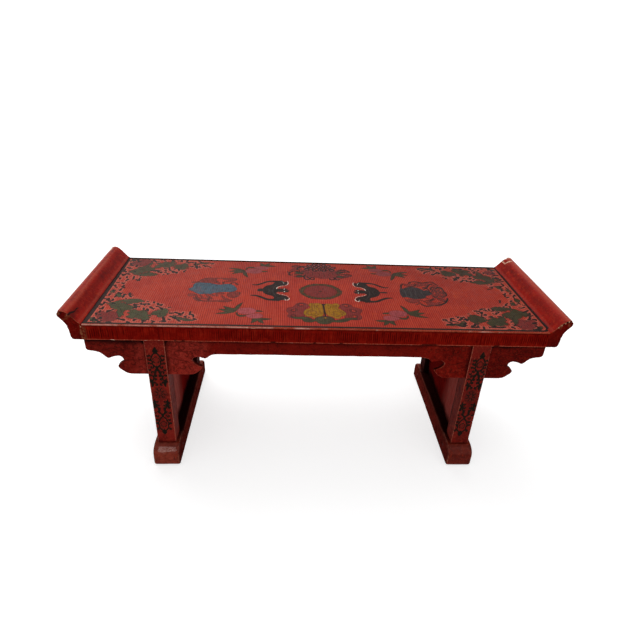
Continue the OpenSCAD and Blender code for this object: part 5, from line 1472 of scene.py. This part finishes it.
def cap_shade(co, no):
    """Painted shade low on the slope beside the border, in long streaks, under the flange, and at the tip of the right
    flange.
    """
    x, y, z = np.abs(co[:, 0]), co[:, 1], co[:, 2]
    streak = 0.5 + 0.5 * noise(co + np.array([0, 0, 7.0]), (5.0, 46.0, 5.0), 221)
    low = step(266, 258, x + 3.0 * noise(co, (6.0, 30.0, 6.0), 222)) * (no[:, 2] > 0.2)
    d = TIP_X - x
    left = co[:, 0].mean() < 0
    wide = (3.6, 0.8) if left else (3.0, 0.8)
    mid = step(*wide, np.abs(d - (14.6 if left else 14.2) + 1.0 * noise(co, (9, 70, 9), 223))) * step(-1.0, 0.3, noise(co, (9, 40, 9), 224))
    tip = 0.0 if left else 0.26 * step(4.0, 1.4, d)
    return np.clip(0.55 * (no[:, 2] < -0.6) + (0.06 + 0.08 * low + (0.52 if left else 0.46) * mid) * streak * (no[:, 2] > 0.2) + tip, 0, 1)


for sx, word in ((-1, "left"), (1, "right")):
    prof = cap_profile.copy()
    prof[:, 0] *= sx
    ob = solid(word + "_end_cap_flange", prof, "y", -HALF_D, HALF_D, 1.0, cell=1.25, seed=200 + sx,
               move=cap_shape(sx), wear=1.3, paint=cap_paint(sx), fine=at_joint, painted_shade=cap_shade,
               calm=lambda co: step(BOARD_X + 0.6, BOARD_X + 2.4, np.abs(co[:, 0])))
    placed(ob, word + "_end_cap", M_CAP)
    second(ob, M_CAP_END, lambda n, c: (np.abs(n[:, 1]) > 0.75) | (n[:, 2] < -0.3))
    weighted(ob)


# ---------------------------------------------------------------- top board

def rib_at(x, y):
    """1 on the crest of a combed line of the ground, 0 at the bottom of the groove beside it."""
    p = np.stack([x, y, np.zeros_like(x)], -1)
    u = x + 0.60 * noise(p, (46, 30, 1), 31) + 0.22 * noise(p, (9, 8, 1), 32) + 0.012 * y
    ph = 2 * math.pi * u / 2.4
    return 1 - (0.5 - 0.5 * np.cos(ph)) ** 2.2


def rib_depth(x, y):
    p = np.stack([x, y, np.zeros_like(x)], -1)
    return 0.17 * (0.62 + 0.38 * noise(p, (22, 14, 1), 33))


def top_sag(x, y):
    p = np.stack([x, y, np.full_like(x, TOP_Z)], -1)
    return 0.10 * (0.5 + 0.5 * noise(p, 38.0, 34))


def comb_front(x, z, side):
    """1 in the short dark strokes combed up the front and back edges of the board."""
    p = np.stack([x, np.full_like(x, side * 10.0), z], -1)
    u = x + 0.5 * noise(p, (30, 1, 14), 41) + 0.25 * noise(p, (5, 1, 5), 42)
    ph = 2 * math.pi * u / 2.33
    line = (0.5 + 0.5 * np.cos(ph)) ** 1.6
    q = np.stack([x, np.full_like(x, side * 10.0), np.zeros_like(x)], -1)
    lo = 178.6 + 2.4 * noise(q, (2.6, 1, 1), 43)
    hi = 190.4 + 1.8 * noise(q, (2.4, 1, 1), 44)
    env = step(-0.8, 0.8, z - lo) * step(-0.8, 0.8, hi - z)
    fade = 0.70 + 0.35 * noise(q, (24, 1, 1), 45) + 0.30 * noise(q, (2.4, 1, 1), 46)
    return line * env * np.clip(fade, 0.25, 1)


def top_board():
    xs = np.linspace(-BOARD_X, BOARD_X, 1105)
    r1, r2, r3 = 1.5, 0.9, 0.5
    ring = []   # (y, z, normal y, normal z, kind)
    for z in np.linspace(UNDER_Z + r2, TOP_Z - r1, 9):
        ring.append((-HALF_D, z, -1, 0, 1))
    for a in (22.5, 45, 67.5):
        c, s = math.cos(math.radians(a)), math.sin(math.radians(a))
        ring.append((-HALF_D + r1 - r1 * c, TOP_Z - r1 + r1 * s, -c, s, 2))
    for y in np.concatenate([[-HALF_D + r1], np.linspace(-88.2, 89.2, 167), [HALF_D - 1.2, HALF_D - r3]]):
        ring.append((y, TOP_Z, 0, 1, 0))
    for a in (67.5, 45, 22.5):
        c, s = math.cos(math.radians(a)), math.sin(math.radians(a))
        ring.append((HALF_D - r3 + r3 * c, TOP_Z - r3 + r3 * s, c, s, 2))
    for z in np.linspace(TOP_Z - r3, UNDER_Z + r2, 9):
        ring.append((HALF_D, z, 1, 0, 1))
    for a in (30, 60):
        c, s = math.cos(math.radians(a)), math.sin(math.radians(a))
        ring.append((HALF_D - r2 + r2 * c, UNDER_Z + r2 - r2 * s, c, -s, 3))
    for y in np.linspace(HALF_D - r2, -HALF_D + r2, 9):
        ring.append((y, UNDER_Z, 0, -1, 4))
    for a in (60, 30):
        c, s = math.cos(math.radians(a)), math.sin(math.radians(a))
        ring.append((-HALF_D + r2 - r2 * c, UNDER_Z + r2 - r2 * s, -c, -s, 3))
    ring = np.array(ring)
    m = len(ring)
    X = np.repeat(xs[:, None], m, 1)
    Y = np.repeat(ring[None, :, 0], len(xs), 0)
    Z = np.repeat(ring[None, :, 1], len(xs), 0)
    NY = np.repeat(ring[None, :, 2], len(xs), 0)
    NZ = np.repeat(ring[None, :, 3], len(xs), 0)
    K = np.repeat(ring[None, :, 4], len(xs), 0)
    P = np.stack([X, Y, Z], -1)
    top, front, worn = (K == 0), (K == 1), (K == 2) | (K == 3)
    rib = np.where(top | (K == 2), rib_at(X, Y), 1.0)
    fade = step(HALF_D - 0.6, HALF_D - 2.6, np.abs(Y))
    drop = top_sag(X, Y) * (K < 3) * np.clip(NZ, 0, 1) + rib_depth(X, Y) * (1 - rib) * fade
    comb = np.where(front, comb_front(X, Z, 1.0), 0.0)
    comb = np.where(front & (Y > 0), comb_front(X, Z, -1.0), comb)
    loss = np.where(front, 0.05 + 0.05 * noise(P, 17.0, 51) + 0.16 * comb, 0.0)
    nick = 0.55 * np.clip(noise(P, (6.5, 3, 3), 52) - 0.15, 0, 1) + 1.2 * np.clip(noise(P, (2.8, 2, 2), 53) - 0.6, 0, 1)
    loss = np.where(worn, 0.04 + nick, loss)
    loss = np.where(K == 4, 0.06 + 0.06 * noise(P, 20.0, 54), loss)
    Y2 = Y - NY * loss
    Z2 = Z - NZ * loss - drop * (K < 3)
    V = np.stack([X, Y2, Z2], -1).reshape(-1, 3)
    i = np.arange(len(xs) - 1)[:, None] * m
    j = np.arange(m)[None, :]
    k = (j + 1) % m
    quads = np.stack([i + j, i + m + j, i + m + k, i + k], -1).reshape(-1, 4)
    faces = quads.tolist()
    faces.append(list(range(m)))
    faces.append(list(range((len(xs) - 1) * m, len(xs) * m))[::-1])
    mesh = bpy.data.meshes.new("top_board_plank")
    mesh.from_pydata((V * MM).tolist(), [], faces)
    side = np.where(top, 0.0, 1.0)
    side = np.where(K == 2, np.clip(1.15 - NZ * 1.2, 0, 1) * np.where(Y > 0, 0.3, 1.0), side)
    arris = np.where(worn, 1.0, 0.0)
    arris = np.where(top, step(HALF_D - 2.6, HALF_D - 1.4, np.abs(Y)), arris)
    arris = np.where(front, step(2.0, 0.9, Z - UNDER_Z) * 0.75, arris)
    arris = np.where((K == 3) & (Y < 0), 0.8, arris)
    arris = np.where(top & (Y < 0), arris * 0.6, arris)
    arris = arris * np.where(Y > 0, 0.15, 1.0) * step(BOARD_X, BOARD_X - 0.6, np.abs(X))
    # painted shade on the underside of the board
    shade_mask = np.where(K == 4, 0.55, 0.0)
    # a painted highlight along the front top arris
    glint = np.where((K == 2) & (Y < 0) & (NZ > 0.5), 1.0, 0.0)
    glint = np.where((K == 2) & (Y < 0) & (NZ <= 0.5), 0.35, glint)
    # a painted shadow under the front arris
    shadow = np.where(front & (Y < 0), step(TOP_Z - 3.4, TOP_Z - 2.4, Z) * step(TOP_Z - 1.2, TOP_Z - 1.6, Z), 0.0)
    shadow = np.where((K == 2) & (Y < 0) & (NZ < 0.5), 0.6, shadow)
    bare = np.zeros(X.shape)
    for cx, half in ((-54.0, 4.0), (-8.0, 2.0), (21.0, 2.4), (118.0, 11.0), (196.0, 3.0), (-150.0, 2.5)):
        gap = np.abs(X - cx) / half + np.clip(Z - UNDER_Z - 0.6 - 0.8 * noise(P, (2.5, 2, 2), 55), 0, None) / 1.4
        bare = np.maximum(bare, step(1.15, 0.85, gap) * ((K == 1) | (K == 3)) * (Y < 0))
    values = {"rib": rib.ravel(), "side": side.ravel(), "comb": comb.ravel(), "arris": arris.ravel(), "painted_shade": shade_mask.ravel(),
              "glint": glint.ravel(), "shadow": shadow.ravel(), "bare": bare.ravel(),
              "joint": (step(BOARD_X - 5, BOARD_X - 1, -X) * (K == 1) * (Y < 0)).ravel()}
    rows = np.nonzero((ring[:, 4] == 0) | (ring[:, 4] == 2))[0]
    art = paint_top(X[:, rows], Y[:, rows])
    for key, v in art.items():
        full = np.full(X.shape, 2.5)
        full[:, rows] = v.reshape(len(xs), len(rows))
        values[key] = full.ravel()
    ob = made("top_board_plank", mesh, values)
    placed(ob, "top_board", M_TOP)
    second(ob, M_EDGE, lambda n, c: (n[:, 2] < 0.35) | (c[:, 1] > 86.5))
    return ob


top_board()

for node in ("apron_pins", "runner_pegs", "cap_pegs"):
    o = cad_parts[node]
    o.data.materials.clear()
    o.data.materials.append(M_BAMBOO)


# ---------------------------------------------------------------- stage and light

def stage():
    prof = [(-9.0, 0.0), (3.0, 0.0)]
    prof += [(3.0 + 1.4 * math.sin(a), 1.4 - 1.4 * math.cos(a)) for a in np.linspace(0.15, math.pi / 2, 12)]
    prof += [(4.4, 5.0)]
    v, f = [], []
    for y, z in prof:
        v += [(-5.0, y, z), (5.0, y, z)]
    for i in range(len(prof) - 1):
        a = 2 * i
        f.append((a, a + 1, a + 3, a + 2))
    mesh = bpy.data.meshes.new("studio_floor")
    mesh.from_pydata(v, [], f)
    mesh.polygons.foreach_set("use_smooth", np.ones(len(f), bool))
    ob = bpy.data.objects.new("studio_floor", mesh)
    bpy.context.scene.collection.objects.link(ob)
    # pale paper, a little self-lit so that the shadow stays soft, more so away from the stand
    f = Shade("studio_floor")
    x, y = f.axis("X"), f.axis("Y")
    far = f.math("SQRT", f.math("ADD", f.math("MULTIPLY", x, x), f.math("MULTIPLY", y, y)))
    grain = f.noise(60, 2.0, 0.5, seed=0.4)
    tone = f.mix(grain, (0.50, 0.50, 0.50, 1), (0.52, 0.52, 0.52, 1))
    m = f.finish(tone, f.band(grain, 0.3, 0.7, 0.88, 0.94), None, specular=0.0)
    b = f.nt.nodes["Principled BSDF"]
    b.inputs["Emission Color"].default_value = (1, 1, 1, 1)
    f.put(b.inputs["Emission Strength"], f.band(far, 0.45, 2.2, 0.67, 0.80))
    mesh.materials.append(m)


stage()


def area(name, pos, target, size, power, colour=(1, 1, 1)):
    data = bpy.data.lights.new(name, "AREA")
    data.shape = "RECTANGLE"
    data.size, data.size_y = size
    data.energy = power
    data.color = colour
    ob = bpy.data.objects.new(name, data)
    ob.location = pos
    d = Vector(target) - Vector(pos)
    ob.rotation_euler = d.to_track_quat("-Z", "Y").to_euler()
    bpy.context.scene.collection.objects.link(ob)


area("key", (-0.7, 1.3, 1.9), (0, 0, 0.1), (2.2, 1.6), 32)
area("overhead", (0.2, -0.1, 2.4), (0, 0, 0), (2.6, 2.6), 26)

world = bpy.data.worlds.new("studio")
bpy.context.scene.world = world
world.use_nodes = True
world.node_tree.nodes["Background"].inputs[0].default_value = (1, 1, 1, 1)
world.node_tree.nodes["Background"].inputs[1].default_value = 0.35
bpy.context.scene.view_settings.view_transform = "Standard"
